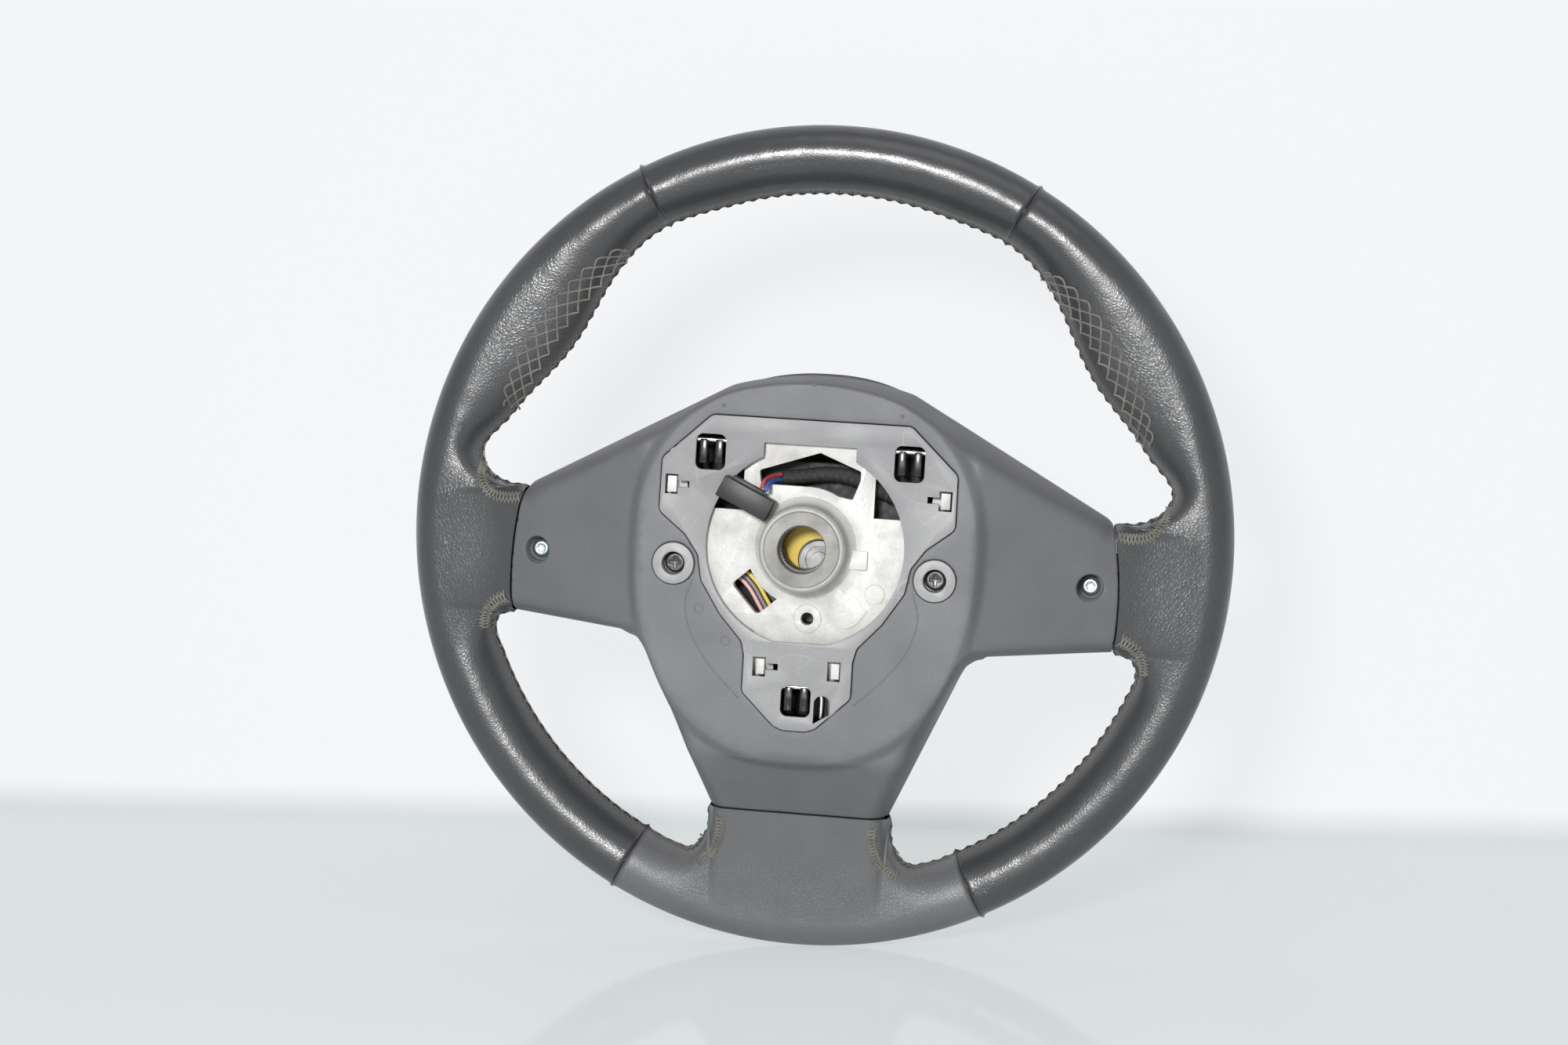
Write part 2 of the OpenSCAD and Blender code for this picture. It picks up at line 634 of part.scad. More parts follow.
module spoke_screws() color("silver") both_sides()
    translate([torx_x, 0, torx_z]) star_screw(side_rear + torx_depth - 2.5);

// Front parts of the spokes

pad_gap = 1.2;
bezel_back = part_y + 0.05;
frame_share = 1.25;
flange_t = 4;
first_bezel = 5;
split = 22;
function pad_hole(a) = egg_point(a, pad_x + pad_gap, pad_up + pad_gap, pad_down + pad_gap);

function hole_under(i) = let (q = inward(i, sample_width(i))) pad_hole(atan2(q.y, q.x));

// The frame's inner edge: the edge of the switch bay, or the hole for the airbag cover where that comes first
side_end = 15;
low_start = 18;
function bay_edge(i) =
    let (q = inward(i, sample_width(i) * frame_share), h = pad_hole(atan2(q.y, q.x)))
    i > side_end && i < low_start
        ? lerp(bay_edge(side_end), bay_edge(low_start), (i - side_end) / (low_start - side_end))
        : norm(q) - norm(h) > 4 ? q : hole_under(i);

function front_loop(i, h) =
    let (w = sample_width(i), p0 = outline[i][0], q = inward(i, w),
         far = (q - h) * unit(h) > 1.5 || norm(q) > norm(h) && norm(q - h) > 1.5 ? q : h + 1.5 * unit(h),
         y = front_depth(far), back = outline[i][1] ? spoke_front - flange_t : bezel_back,
         p1 = outline[i][1] ? p0 : inward(i, 0.02 * w), p2 = inward(i, 0.1 * w), p3 = inward(i, 0.35 * w))
    [at(p0, back), at(p1, front_depth(p1)), at(p2, front_depth(p2)), at(p3, front_depth(p3)),
     at(far, y), at(h, y), at(h, back)];

module front_solid(loops) {
    skin(reversed(loops), [[0, 1, 6], [1, 2, 6], [2, 3, 6], [3, 4, 5], [3, 5, 6]]);
}

module bezel() {
    last = front_loop(split, bay_edge(split));
    front_solid(concat([for (i = [first_bezel:split - 1]) front_loop(i, bay_edge(i))],
                       [lerp(front_loop(split - 1, bay_edge(split - 1)), last, 0.92)]));
}

module right_bezel() color("dimgray") bezel();
module left_bezel() color("dimgray") mirror([1, 0, 0]) bezel();

module low_pocket() {
    difference() {
        offset(delta = -edge_w / 2) polygon([crotch_in, low_corner, low_corner - [0, 20],
            [-low_half, -low_z - 20], [-low_half, -low_z], [-crotch_in.x, crotch_in.y]]);
        polygon([for (i = [0:71]) pad_hole(5 * i) * (1 + 1.6 / pad_x)]);
    }
}

module lower_trim() color("dimgray") difference() {
    front_solid([for (i = [split:outline_n - split]) front_loop(i, hole_under(i))]);
    plan(part_y - 20, spoke_front - 3) low_pocket();
}

// Airbag module

pad_back = part_y + horn_travel + 0.8;
pad_n = 36;
function pad_ring(scale, inset, y) = [for (i = [0:pad_n - 1])
    at(egg_point(90 - 360 * i / pad_n, pad_x - inset, pad_up - inset, pad_down - inset) * scale, y)];

module airbag_cover() color("dimgray") {
    edge = spoke_front + 1;
    skin([pad_ring(0.1, 0, pad_front - pad_t), pad_ring(0.84, 0, pad_front - 3 - pad_t),
          pad_ring(1, pad_t, edge), pad_ring(1, pad_t, pad_back), pad_ring(1, 0, pad_back),
          pad_ring(1, 0, edge), pad_ring(0.975, 0, edge + 3), pad_ring(0.86, 0, pad_front - 3),
          pad_ring(0.55, 0, pad_front - 0.6), pad_ring(0.1, 0, pad_front)], [[for (k = [0:pad_n - 1]) k]]);
}

module airbag_canister() color("gray") {
    plan(can_y, pad_back + 4) canister_plan();
}

module canister_plan() {
    offset(r = 6, $fn = 24) offset(delta = -6) {
        translate([-can_x, -56]) square([2 * can_x, 92]);
        for (s = [-1, 1]) translate([s * win_x - 7, 20]) square([14, 26]);
    }
    translate([-8, -76]) square([16, 30]);
}

inflator_x = 5;
inflator_z = -6;
module inflator() color("silver") turned([[0, 27], [3.4, 27], [3.6, 28], [5.8, 28], [6, 27.4], [8.2, 27.4],
    [8.6, 30], [inflator_r - 6, 30.5], [inflator_r, 32.5], [inflator_r, can_y], [0, can_y]],
    inflator_x, inflator_z);

module squib_connector() color("gold") plan(26.8, 30) intersection() {
    translate([inflator_x, inflator_z]) difference() {
        circle(r = 17);
        circle(r = 9.2);
    }
    rotate(42) translate([-14, -8]) square([40, 26]);
}

module hook_pair() {
    for (s = [-1, 1]) translate([s * 3.4, 0, 0]) {
        plan(plate_y + 1, can_y) translate([-1.7, -4.5]) square([3.4, 9]);
        plan(plate_y + 1, plate_y + 2.4) translate([-1.7, -4.5]) square([3.4, win_h / 2 + 2.8]);
    }
}

module module_hooks() color("black") {
    for (s = [-1, 1]) translate([s * win_x, 0, win_z - 0.7]) hook_pair();
    translate([0, 0, -win_low]) hook_pair();
}

horn_r = 38;
horn_coil = 3.2;
function coil(x, z, y0, y1, turns) = [for (i = [0:turns * 6])
    [x + horn_coil * cos(60 * i), lerp(y0, y1, i / (turns * 6)), z + horn_coil * sin(60 * i)]];

module horn_springs() color("silver") {
    base = cast_y + cast_t + 0.8;
    for (a = [10, 170, 282]) let (c = polar(horn_r, a))
        tube(coil(c.x, c.y, base, can_y - horn_travel - 1.1, 4), 0.6, 5);
}

// Switch packs

rocker_w = 14;
rocker_h = 16;
button_drop = 14;
pocket_y = spoke_front - 8;
housing_back = pocket_y - 1.4;
first_bay = 6;
last_bay = 20;
function button_z(s) = switch_z + s * button_drop;

// The bay between the frame and the airbag cover
module bay_plan() {
    edge = [for (i = [first_bay:last_bay]) bay_edge(i)];
    a1 = atan2(edge[0].y, edge[0].x);
    a0 = atan2(edge[len(edge) - 1].y, edge[len(edge) - 1].x);
    offset(r = 1.5) offset(delta = -shut_gap - 1.5)
        polygon(concat(edge, [for (t = [0:0.1:1]) pad_hole(lerp(a0, a1, t))]));
}

module switch_housing() {
    difference() {
        plan(housing_back, spoke_front + 0.4) bay_plan();
        plan(pocket_y, spoke_front + 5) {
            for (s = [-1, 1]) translate([switch_x, button_z(s)])
                rounded(button_w + 2 * button_gap, button_h + 2 * button_gap, 2.4);
            translate([switch_x, switch_z])
                rounded(rocker_w + 2 * button_gap, rocker_h + 4 * button_gap, 2.4);
        }
    }
}

module push_button(s) {
    plan(pocket_y + button_travel + 0.4, spoke_front + 1.6)
        translate([switch_x, button_z(s)]) rounded(button_w, button_h, 2);
}

module rocker() {
    intersection() {
        translate([switch_x - rocker_w / 2, 0, switch_z]) rotate([90, 0, 90]) linear_extrude(rocker_w)
            polygon([[pocket_y + 2, -rocker_h / 2], [spoke_front + 2.6, -rocker_h / 2],
                     [spoke_front + 1.6, 0], [spoke_front + 2.6, rocker_h / 2], [pocket_y + 2, rocker_h / 2]]);
        plan(0, 100) translate([switch_x, switch_z]) rounded(rocker_w, rocker_h, 2);
    }
}

module right_switch_housing() color("dimgray") switch_housing();
module right_rocker() color("black") rocker();
module right_upper_button() color("black") push_button(1);
module right_lower_button() color("black") push_button(-1);
module left_switch_housing() color("dimgray") mirror([1, 0, 0]) switch_housing();
module left_rocker() color("black") mirror([1, 0, 0]) rocker();
module left_upper_button() color("black") mirror([1, 0, 0]) push_button(1);
module left_lower_button() color("black") mirror([1, 0, 0]) push_button(-1);

// Wiring. Routes are points chosen by hand, as depth y between X and Z

loom_route = [[-12, 27.5, 29], [-4, 27.5, 30], [6, 27.5, 31.5], [16, 27.5, 31], [27, 28, 27], [38, 29, 22.5],
              [48, 28.6, 20], [57, 32.6, 18], [66, 41, 16], [76, 50, 13], [83, 55.5, 9], [88, 59.4, 5]];
red_route = [[-12.8, 27, 30.2], [-15, 24.5, 30], [-17, 20, 29.4], [-18.5, 15, 28.4], [-19, 10.5, 27.2],
             [-19.4, 7.5, 25.2]];
blue_route = [[-12.9, 27, 27.8], [-14.5, 24, 27.8], [-16, 19, 27.6], [-17, 14, 27], [-17.2, 9.5, 25.8],
              [-17.2, 6.5, 24.2]];
leads_route = [[-11.5, 26, -37], [-15, 26, -31.5], [-19, 26, -25], [-23, 26, -19], [-29, 26.4, -14],
               [-38, 27, -12.5], [-50, 29.5, -14], [-62, 35, -17], [-75, 43.5, -19], [-85, 52, -18],
               [-92, 62, -15.8]];
lead_r = 0.9;
lead_pitch = 2.1;

// The leads lie side by side, so each point moves across the run as seen from the column
function beside(i, k) =
    let (t = leads_route[min(len(leads_route) - 1, i + 1)] - leads_route[max(0, i - 1)])
    leads_route[i] + unit([t.z, 0, -t.x]) * lead_pitch * k;

module side_lead(k) {
    tube([for (i = [0:len(leads_route) - 1]) beside(i, k)], lead_r, 6);
}

module loom() color("black") tube(loom_route, 3.4, 10);
module lead_red() color("indianred") tube(red_route, lead_r, 6);
module lead_blue() color("royalblue") tube(blue_route, lead_r, 6);
module lead_pink() color("pink") side_lead(-1);
module lead_grey() color("gray") side_lead(0);
module lead_yellow() color("gold") side_lead(1);

module loom_clip() color("black") difference() {
    plan(cast_y + cast_t, cast_y + cast_t + 5.4) translate([-9.8, -38]) rotate(-30) square([9.6, 5], center = true);
    for (k = [-1:1]) tube([for (i = [0:2]) beside(i, k)], lead_r + 0.15, 6);
}

module loom_connector() color("black") {
    translate([-25.8, plate_y - 10.3, 20.2]) rotate([0, 25, 0]) difference() {
        union() {
            translate([-12, 0, -4.7]) cube([24, 10, 9.4]);
            translate([-9, 2.5, 4.7]) cube([15, 5, 1.6]);
        }
        for (i = [0:4]) for (j = [0, 1])
            translate([-9.9 + 4.1 * i, 1.6 + 4 * j, -4.7 - eps]) cube([3, 2.8, 5]);
    }
}

armature();
spline_bush();
rim_foam();
leather_top();
leather_left();
leather_right();
leather_bottom();
rear_cover();
hub_plate();
retaining_springs();
screw_sleeves();
sleeve_screws();
spoke_screws();
left_bezel();
right_bezel();
lower_trim();
airbag_cover();
airbag_canister();
inflator();
squib_connector();
module_hooks();
horn_springs();
left_switch_housing();
left_rocker();
left_upper_button();
left_lower_button();
right_switch_housing();
right_rocker();
right_upper_button();
right_lower_button();
loom();
loom_connector();
lead_red();
lead_blue();
lead_pink();
lead_grey();
lead_yellow();
loom_clip();
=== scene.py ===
"""Looks of a leather-covered car steering wheel, seen from the column side, round its CAD frame."""

import math

import bmesh
import bpy
import numpy as np
from mathutils import Matrix, Vector
from mathutils.bvhtree import BVHTree
from mathutils.geometry import delaunay_2d_cdt


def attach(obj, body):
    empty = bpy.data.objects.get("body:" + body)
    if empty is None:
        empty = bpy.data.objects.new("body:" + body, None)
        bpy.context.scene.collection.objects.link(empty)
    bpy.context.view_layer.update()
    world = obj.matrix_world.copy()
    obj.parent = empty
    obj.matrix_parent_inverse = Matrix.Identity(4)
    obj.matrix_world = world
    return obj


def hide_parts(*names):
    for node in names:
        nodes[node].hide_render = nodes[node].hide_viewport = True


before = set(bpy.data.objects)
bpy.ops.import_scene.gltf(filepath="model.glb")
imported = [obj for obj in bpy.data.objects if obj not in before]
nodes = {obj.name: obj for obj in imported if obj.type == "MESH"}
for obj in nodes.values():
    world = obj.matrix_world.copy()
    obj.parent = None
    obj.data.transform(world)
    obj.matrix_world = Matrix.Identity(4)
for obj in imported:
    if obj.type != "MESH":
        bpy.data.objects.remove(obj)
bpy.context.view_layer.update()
MM = 0.001


# Camera and lamps

LENS, SENSOR = 61.01, 36.0
CAMERA_PLACE = (0.122608, -1.12027, 0.092296)
CAMERA_AXES = ((0.991032, 0.119886, 0.059011), (-0.067060, 0.064251, 0.995678),
               (0.115576, -0.990706, 0.071715))


def place(name, data):
    """A new object in the scene."""
    obj = bpy.data.objects.new(name, data)
    bpy.context.collection.objects.link(obj)
    return obj


def place_camera():
    """The camera fitted to the photograph's rim, seams, screws and bore."""
    data = bpy.data.cameras.new("photo_view")
    data.lens, data.sensor_width, data.clip_start = LENS, SENSOR, 0.05
    cam = place("photo_view", data)
    turn = Matrix([Vector(axis) for axis in CAMERA_AXES]).transposed().to_4x4()
    cam.matrix_world = Matrix.Translation(CAMERA_PLACE) @ turn
    bpy.context.scene.camera = cam


def soft_lamp(name, at, aim, size, power):
    data = bpy.data.lights.new(name, "AREA")
    data.shape = "RECTANGLE"
    data.size, data.size_y = size
    data.energy = power
    turn = (Vector(aim) - Vector(at)).to_track_quat("-Z", "Y").to_matrix().to_4x4()
    place(name, data).matrix_world = Matrix.Translation(at) @ turn


# Materials


class Wiring:
    """Short words for adding and joining nodes in one tree."""

    def __init__(self, tree):
        self.tree = tree

    def node(self, kind, ins=(), **props):
        n = self.tree.nodes.new(kind)
        for k, v in props.items():
            setattr(n, k, v)
        for key, value in dict(ins).items():
            self.feed(n.inputs[key], value)
        return n

    def first(self, kind, ins=(), **props):
        """A new node's first output."""
        return self.node(kind, ins, **props).outputs[0]

    def feed(self, socket, value):
        if isinstance(value, bpy.types.NodeSocket):
            self.tree.links.new(value, socket)
        elif value is not None:
            socket.default_value = (*value, 1.0) if socket.type == "RGBA" else value

    def math(self, op, a, b=None):
        return self.first("ShaderNodeMath", {0: a, 1: b}, operation=op)

    def plus(self, a, b):
        return self.math("ADD", a, b)

    def times(self, a, b):
        return self.math("MULTIPLY", a, b)

    def vmath(self, op, a, b):
        return self.first("ShaderNodeVectorMath", {0: a, 3 if op == "SCALE" else 1: b}, operation=op)

    def noise(self, vector, scale, detail=3, rough=0.5):
        return self.first("ShaderNodeTexNoise", {"Vector": vector, "Scale": scale, "Detail": detail,
                                                 "Roughness": rough})

    def cells(self, vector, scale, feature="F1"):
        return self.first("ShaderNodeTexVoronoi", {"Vector": vector, "Scale": scale}, feature=feature)

    def bent(self, vector, scale, by):
        """The vector pushed about by noise, so that a pattern on it wanders."""
        push = self.node("ShaderNodeTexNoise", {"Vector": vector, "Scale": scale}).outputs[1]
        return self.vmath("ADD", vector, self.vmath("SCALE", push, by))

    def band(self, value, low, high, to_low=0.0, to_high=1.0):
        ends = {0: value, 1: low, 2: high, 3: to_low, 4: to_high}
        return self.first("ShaderNodeMapRange", ends, clamp=True)

    def mix(self, fac, a, b):
        return self.node("ShaderNodeMix", {0: fac, 6: a, 7: b}, data_type="RGBA").outputs[2]


def shader_group(build, outputs, **sizes):
    """A shared effect: from a vector and its sizes to masks and heights."""
    tree = bpy.data.node_groups.new(build.__name__, "ShaderNodeTree")
    new_socket = tree.interface.new_socket
    new_socket(name="Vector", in_out="INPUT", socket_type="NodeSocketVector")
    for label, value in sizes.items():
        new_socket(name=label, in_out="INPUT", socket_type="NodeSocketFloat").default_value = value
    for label in outputs:
        new_socket(name=label, in_out="OUTPUT", socket_type="NodeSocketFloat")
    w = Wiring(tree)
    source, sink = w.node("NodeGroupInput"), w.node("NodeGroupOutput")
    for label, value in build(w, source.outputs).items():
        w.feed(sink.inputs[label], value)
    return tree


def hide_grain(w, ins):
    """Creased cells of leather, with fine pores between them."""
    edges = w.cells(w.bent(ins["Vector"], 420.0, 0.0016), ins["Cells"], "DISTANCE_TO_EDGE")
    pillow = w.band(edges, 0.0, 0.28)
    pores = w.noise(ins["Vector"], 2600.0, 2)
    return {"Height": w.plus(w.times(pillow, ins["Creases"]), w.times(pores, 0.22)),
            "Crease": w.math("SUBTRACT", 1.0, pillow)}


def hand_wear(w, ins):
    """Broad patches that hands have polished or left dull."""
    broad = w.noise(ins["Vector"], ins["Scale"], 4, 0.55)
    return {"Polish": w.band(broad, 0.38, 0.62), "Lumps": w.noise(ins["Vector"], 95.0, 1, 0.4)}


def loose_dust(w, ins):
    """Pale specks, thicker in some patches."""
    specks = w.cells(ins["Vector"], ins["Scale"])
    patch = w.band(w.noise(ins["Vector"], 60.0, 3), 0.35, 0.7)
    film = w.band(w.noise(ins["Vector"], 900.0, 3, 0.7), 0.45, 0.75)
    return {"Specks": w.times(w.band(specks, 0.22, 0.10), patch), "Film": w.times(film, patch)}


def moulded_skin(w, ins):
    """The fine spark-eroded grain of moulded plastic."""
    fine, coarse = w.noise(ins["Vector"], 1500.0, 2), w.noise(ins["Vector"], 500.0, 2)
    return {"Height": w.plus(w.times(fine, 0.6), w.times(coarse, 0.4)),
            "Tone": w.band(w.noise(ins["Vector"], 30.0, 3), 0.3, 0.7)}


def hair_scratches(w, ins):
    """Thin scattered scratches."""
    lines = w.cells(w.bent(ins["Vector"], 18.0, 0.05), ins["Scale"], "DISTANCE_TO_EDGE")
    here = w.band(w.noise(ins["Vector"], 45.0, 2), 0.52, 0.62)
    return {"Lines": w.times(w.band(lines, 0.012, 0.0), here)}


def cast_skin(w, ins):
    """Mottled as-cast alloy with small pits."""
    broad = w.noise(ins["Vector"], 55.0, 5, 0.62)
    grit = w.noise(ins["Vector"], 1100.0, 3, 0.6)
    pits = w.band(w.cells(ins["Vector"], 420.0), 0.05, 0.3)
    return {"Stain": w.band(broad, 0.42, 0.68), "Height": w.plus(w.times(grit, 0.7), w.times(pits, 0.5)),
            "Grit": w.band(grit, 0.55, 0.75)}


GROUPS = {
    "grain": shader_group(hide_grain, ("Height", "Crease"), Cells=620.0, Creases=1.0),
    "wear": shader_group(hand_wear, ("Polish", "Lumps"), Scale=25.0),
    "dust": shader_group(loose_dust, ("Specks", "Film"), Scale=900.0),
    "moulded": shader_group(moulded_skin, ("Height", "Tone")),
    "scratches": shader_group(hair_scratches, ("Lines",), Scale=60.0),
    "cast": shader_group(cast_skin, ("Stain", "Height", "Grit")),
}


class Finish(Wiring):
    """A material being wired: its Principled shader, its object coordinates and the shared groups."""

    def __init__(self, name, **plain):
        self.material = bpy.data.materials.new(name)
        self.material.use_nodes = True
        super().__init__(self.material.node_tree)
        self.shader = self.tree.nodes["Principled BSDF"]
        for key, value in plain.items():
            self.shader.inputs[key.replace("_", " ")].default_value = value
        self.place = self.node("ShaderNodeTexCoord").outputs["Object"]

    def group(self, name, **ins):
        n = self.node("ShaderNodeGroup", node_tree=GROUPS[name])
        self.feed(n.inputs["Vector"], self.place)
        for key, value in ins.items():
            self.feed(n.inputs[key], value)
        return n.outputs

    def attribute(self, name):
        return self.node("ShaderNodeAttribute", attribute_name=name).outputs["Fac"]

    def bump(self, height, strength, distance):
        n = self.node("ShaderNodeBump", {"Height": height, "Strength": strength, "Distance": distance})
        self.feed(self.shader.inputs["Normal"], n.outputs[0])

    def wire(self, socket, value):
        self.feed(self.shader.inputs[socket], value)


def leather(name, base, light, gloss):
    f = Finish(name, Specular_IOR_Level=0.7)
    grain, wear, dust = f.group("grain", Cells=640.0), f.group("wear"), f.group("dust", Scale=1300.0)
    rough, deep = f.attribute("grain"), f.attribute("seam")
    tone = f.mix(f.times(wear["Polish"], 0.5), base, light)
    # painted shade: the creases between the grain cells are darkened, most where the leather is rough
    tone = f.mix(f.times(grain["Crease"], f.times(rough, 0.35)), tone, (0.03, 0.03, 0.03))
    # painted sheen: the rough zones (spoke roots, thumb rests, bottom) are painted paler to stand in for the
    # broad sheen there
    tone = f.mix(f.times(rough, 0.34), tone, (0.155, 0.158, 0.162))
    # painted shade: the leather is darkened where it drops into the seam gaps and is pulled in at the inner
    # seam
    tone = f.mix(f.times(deep, 0.75), tone, (0.016, 0.016, 0.017))
    tone = f.mix(f.times(dust["Film"], f.times(rough, 0.10)), tone, (0.36, 0.36, 0.33))
    f.wire("Base Color", tone)
    f.wire("Roughness", f.plus(f.times(rough, 0.10),
                               f.band(wear["Polish"], 0.0, 1.0, gloss + 0.07, gloss)))
    height = f.times(grain["Height"], f.band(rough, 0.0, 1.0, 0.05, 0.5))
    f.bump(f.plus(height, f.times(wear["Lumps"], 1.6)), 1.0, 0.00022)
    return f.material


def moulded(name, base, light, rough=0.5, scratch=0.0, dusty=0.05, deep=0.12):
    f = Finish(name)
    skin, dust = f.group("moulded"), f.group("dust", Scale=700.0)
    tone = f.mix(skin["Tone"], base, light)
    if scratch:
        tone = f.mix(f.times(f.group("scratches")["Lines"], scratch), tone, (0.5, 0.5, 0.5))
    tone = f.mix(f.times(f.plus(dust["Specks"], f.times(dust["Film"], 0.4)), dusty),
                 tone, (0.6, 0.6, 0.57))
    f.wire("Base Color", tone)
    f.wire("Roughness", f.band(skin["Tone"], 0.0, 1.0, rough + 0.06, rough - 0.03))
    f.bump(skin["Height"], deep, 0.0002)
    return f.material


def alloy(name, base, stain, metal, rough, deep=0.3, boss=None):
    f = Finish(name, Metallic=metal)
    skin = f.group("cast")
    tone = f.mix(f.times(skin["Stain"], 0.55), base, stain)
    tone = f.mix(f.times(skin["Grit"], 0.25), tone, stain)
    if boss:
        at = f.node("ShaderNodeSeparateXYZ", {0: f.place}).outputs
        off = f.math("SQRT", f.plus(f.times(at[0], at[0]), f.times(at[2], at[2])))
        greyed = f.times(f.band(off, 0.0205, 0.0185), f.band(at[1], 0.015, 0.011))
        tone = f.mix(f.times(greyed, 0.85), tone, boss)
    f.wire("Base Color", tone)
    f.wire("Roughness", f.band(skin["Stain"], 0.0, 1.0, rough - 0.05, rough + 0.12))
    f.bump(skin["Height"], deep, 0.00025)
    return f.material


def steel(name, base, rough, metal=1.0):
    f = Finish(name, Metallic=metal)
    wear = f.group("wear", Scale=180.0)
    f.wire("Base Color", f.mix(wear["Polish"], base, tuple(c * 0.8 for c in base)))
    f.wire("Roughness", f.band(wear["Polish"], 0.0, 1.0, rough, rough + 0.12))
    return f.material


def thread(name, base, dark):
    f = Finish(name, Roughness=0.85, Sheen_Weight=0.3, Sheen_Roughness=0.5)
    twist = f.noise(f.place, 3200.0, 1)
    soil = f.band(f.noise(f.place, 120.0, 3), 0.35, 0.7)
    f.wire("Base Color", f.mix(f.times(soil, 0.7), base, dark))
    f.bump(twist, 0.6, 0.0003)
    return f.material


def tape(name, base):
    f = Finish(name, Roughness=0.6)
    weave = f.node("ShaderNodeTexWave", {"Vector": f.place, "Scale": 900.0, "Distortion": 3.0},
                   bands_direction="DIAGONAL").outputs[1]
    crease = f.noise(f.place, 320.0, 4)
    f.wire("Base Color", f.mix(crease, base, tuple(c * 2.2 for c in base)))
    f.bump(f.plus(f.times(weave, 0.4), crease), 0.7, 0.0004)
    return f.material


FINISHES = {
    "leather": leather("leather_polished", (0.037, 0.038, 0.041), (0.053, 0.054, 0.057), 0.235),
    "leather_low": leather("leather_greyed", (0.125, 0.127, 0.132), (0.160, 0.162, 0.168), 0.36),
    "cover": moulded("cover_plastic", (0.136, 0.138, 0.146), (0.156, 0.158, 0.166), 0.52, 0.05, 0.10),
    "plate": moulded("plate_plastic", (0.25, 0.25, 0.255), (0.32, 0.32, 0.323), 0.48, 0.45, 0.35, 0.2),
    "sleeve": moulded("sleeve_plastic", (0.30, 0.30, 0.30), (0.38, 0.38, 0.38), 0.45, 0.2, 0.3),
    "trim": moulded("front_plastic", (0.045, 0.045, 0.047), (0.055, 0.055, 0.057), 0.55),
    "black": moulded("black_plastic", (0.012, 0.012, 0.013), (0.02, 0.02, 0.021), 0.42, 0.0, 0.03),
    "gloss": moulded("hook_plastic", (0.012, 0.012, 0.013), (0.02, 0.02, 0.021), 0.18, 0.0, 0.05),
    "cast": alloy("cast_alloy", (0.68, 0.67, 0.645), (0.36, 0.35, 0.325), 0.1, 0.52, 0.6,
                  (0.37, 0.365, 0.345)),
    "bush": alloy("bush_steel", (0.24, 0.235, 0.22), (0.15, 0.145, 0.135), 0.3, 0.5, 0.12),
    "wire": steel("spring_wire", (0.80, 0.80, 0.82), 0.22),
    "screw": steel("bright_screw", (0.50, 0.56, 0.57), 0.30),
    "black_screw": steel("blackened_screw", (0.10, 0.10, 0.10), 0.35, 0.7),
    "canister": steel("canister_steel", (0.03, 0.03, 0.03), 0.5, 0.6),
    "inflator": steel("pressed_steel", (0.30, 0.30, 0.30), 0.42, 0.45),
    "foam": moulded("rim_foam", (0.03, 0.03, 0.03), (0.045, 0.045, 0.045), 0.9),
    "thread": thread("seam_thread", (0.23, 0.225, 0.19), (0.10, 0.098, 0.085)),
    "thread_dull": thread("root_thread", (0.15, 0.147, 0.125), (0.06, 0.06, 0.052)),
    "tape": tape("loom_tape", (0.02, 0.02, 0.021)),
    "felt": tape("grey_felt", (0.10, 0.10, 0.10)),
    "red": moulded("red_lead", (0.55, 0.07, 0.08), (0.62, 0.10, 0.11), 0.35, 0.0, 0.0),
    "blue": moulded("blue_lead", (0.05, 0.14, 0.52), (0.07, 0.17, 0.58), 0.35, 0.0, 0.0),
    "pink": moulded("pink_lead", (0.72, 0.42, 0.40), (0.78, 0.50, 0.48), 0.4, 0.0, 0.0),
    "grey": moulded("grey_lead", (0.20, 0.20, 0.21), (0.24, 0.24, 0.25), 0.4, 0.0, 0.0),
    "yellow": moulded("yellow_lead", (0.75, 0.55, 0.10), (0.80, 0.60, 0.14), 0.4, 0.0, 0.0),
    "plug": moulded("yellow_plug", (0.66, 0.46, 0.02), (0.74, 0.53, 0.04), 0.4, 0.0, 0.0),
}


# Pieces: their meshes, finishes and places

def mesh_piece(name, points, faces, finish, **ride):
    """A mesh from millimetres, smooth shaded, riding on a body."""
    mesh = bpy.data.meshes.new(name)
    mesh.from_pydata((arr(points) * MM).tolist(), [], [list(map(int, f)) for f in faces])
    mesh.validate()
    return dress(place(name, mesh), finish, **ride)


def dress(obj, finish, body="wheel", slot=None, replaces=(), angle=None):
    """Finish, shading, body and the CAD nodes it stands for; the slot is not used."""
    obj.data.materials.clear()
    obj.data.materials.append(FINISHES[finish])
    obj.data.shade_smooth()
    if angle:
        obj.data.set_sharp_from_angle(angle=math.radians(angle))
    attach(obj, body)
    if replaces:
        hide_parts(*replaces)
    return obj


def rework(mesh, *steps):
    """The mesh opened for editing, changed by each step in turn and written back."""
    bm = bmesh.new()
    bm.from_mesh(mesh)
    for step in steps:
        step(bm)
    bm.to_mesh(mesh)
    bm.free()


def merge_points(bm):
    bmesh.ops.remove_doubles(bm, verts=bm.verts, dist=1e-6)


def drop_loose(bm):
    bmesh.ops.delete(bm, geom=[v for v in bm.verts if not v.link_faces], context="VERTS")


def turn_outwards(bm):
    bmesh.ops.recalc_face_normals(bm, faces=bm.faces)


def wrapped(rows, ring, base=0, closed_run=False):
    """Faces between rows of points, each row a closed ring."""
    faces = []
    for i in range(rows if closed_run else rows - 1):
        a, b = base + i * ring, base + (i + 1) % rows * ring
        faces += [(a + k, a + (k + 1) % ring, b + (k + 1) % ring, b + k) for k in range(ring)]
    return faces


# Shapes of the rim and spokes, from the same sizes as the CAD model, in millimetres

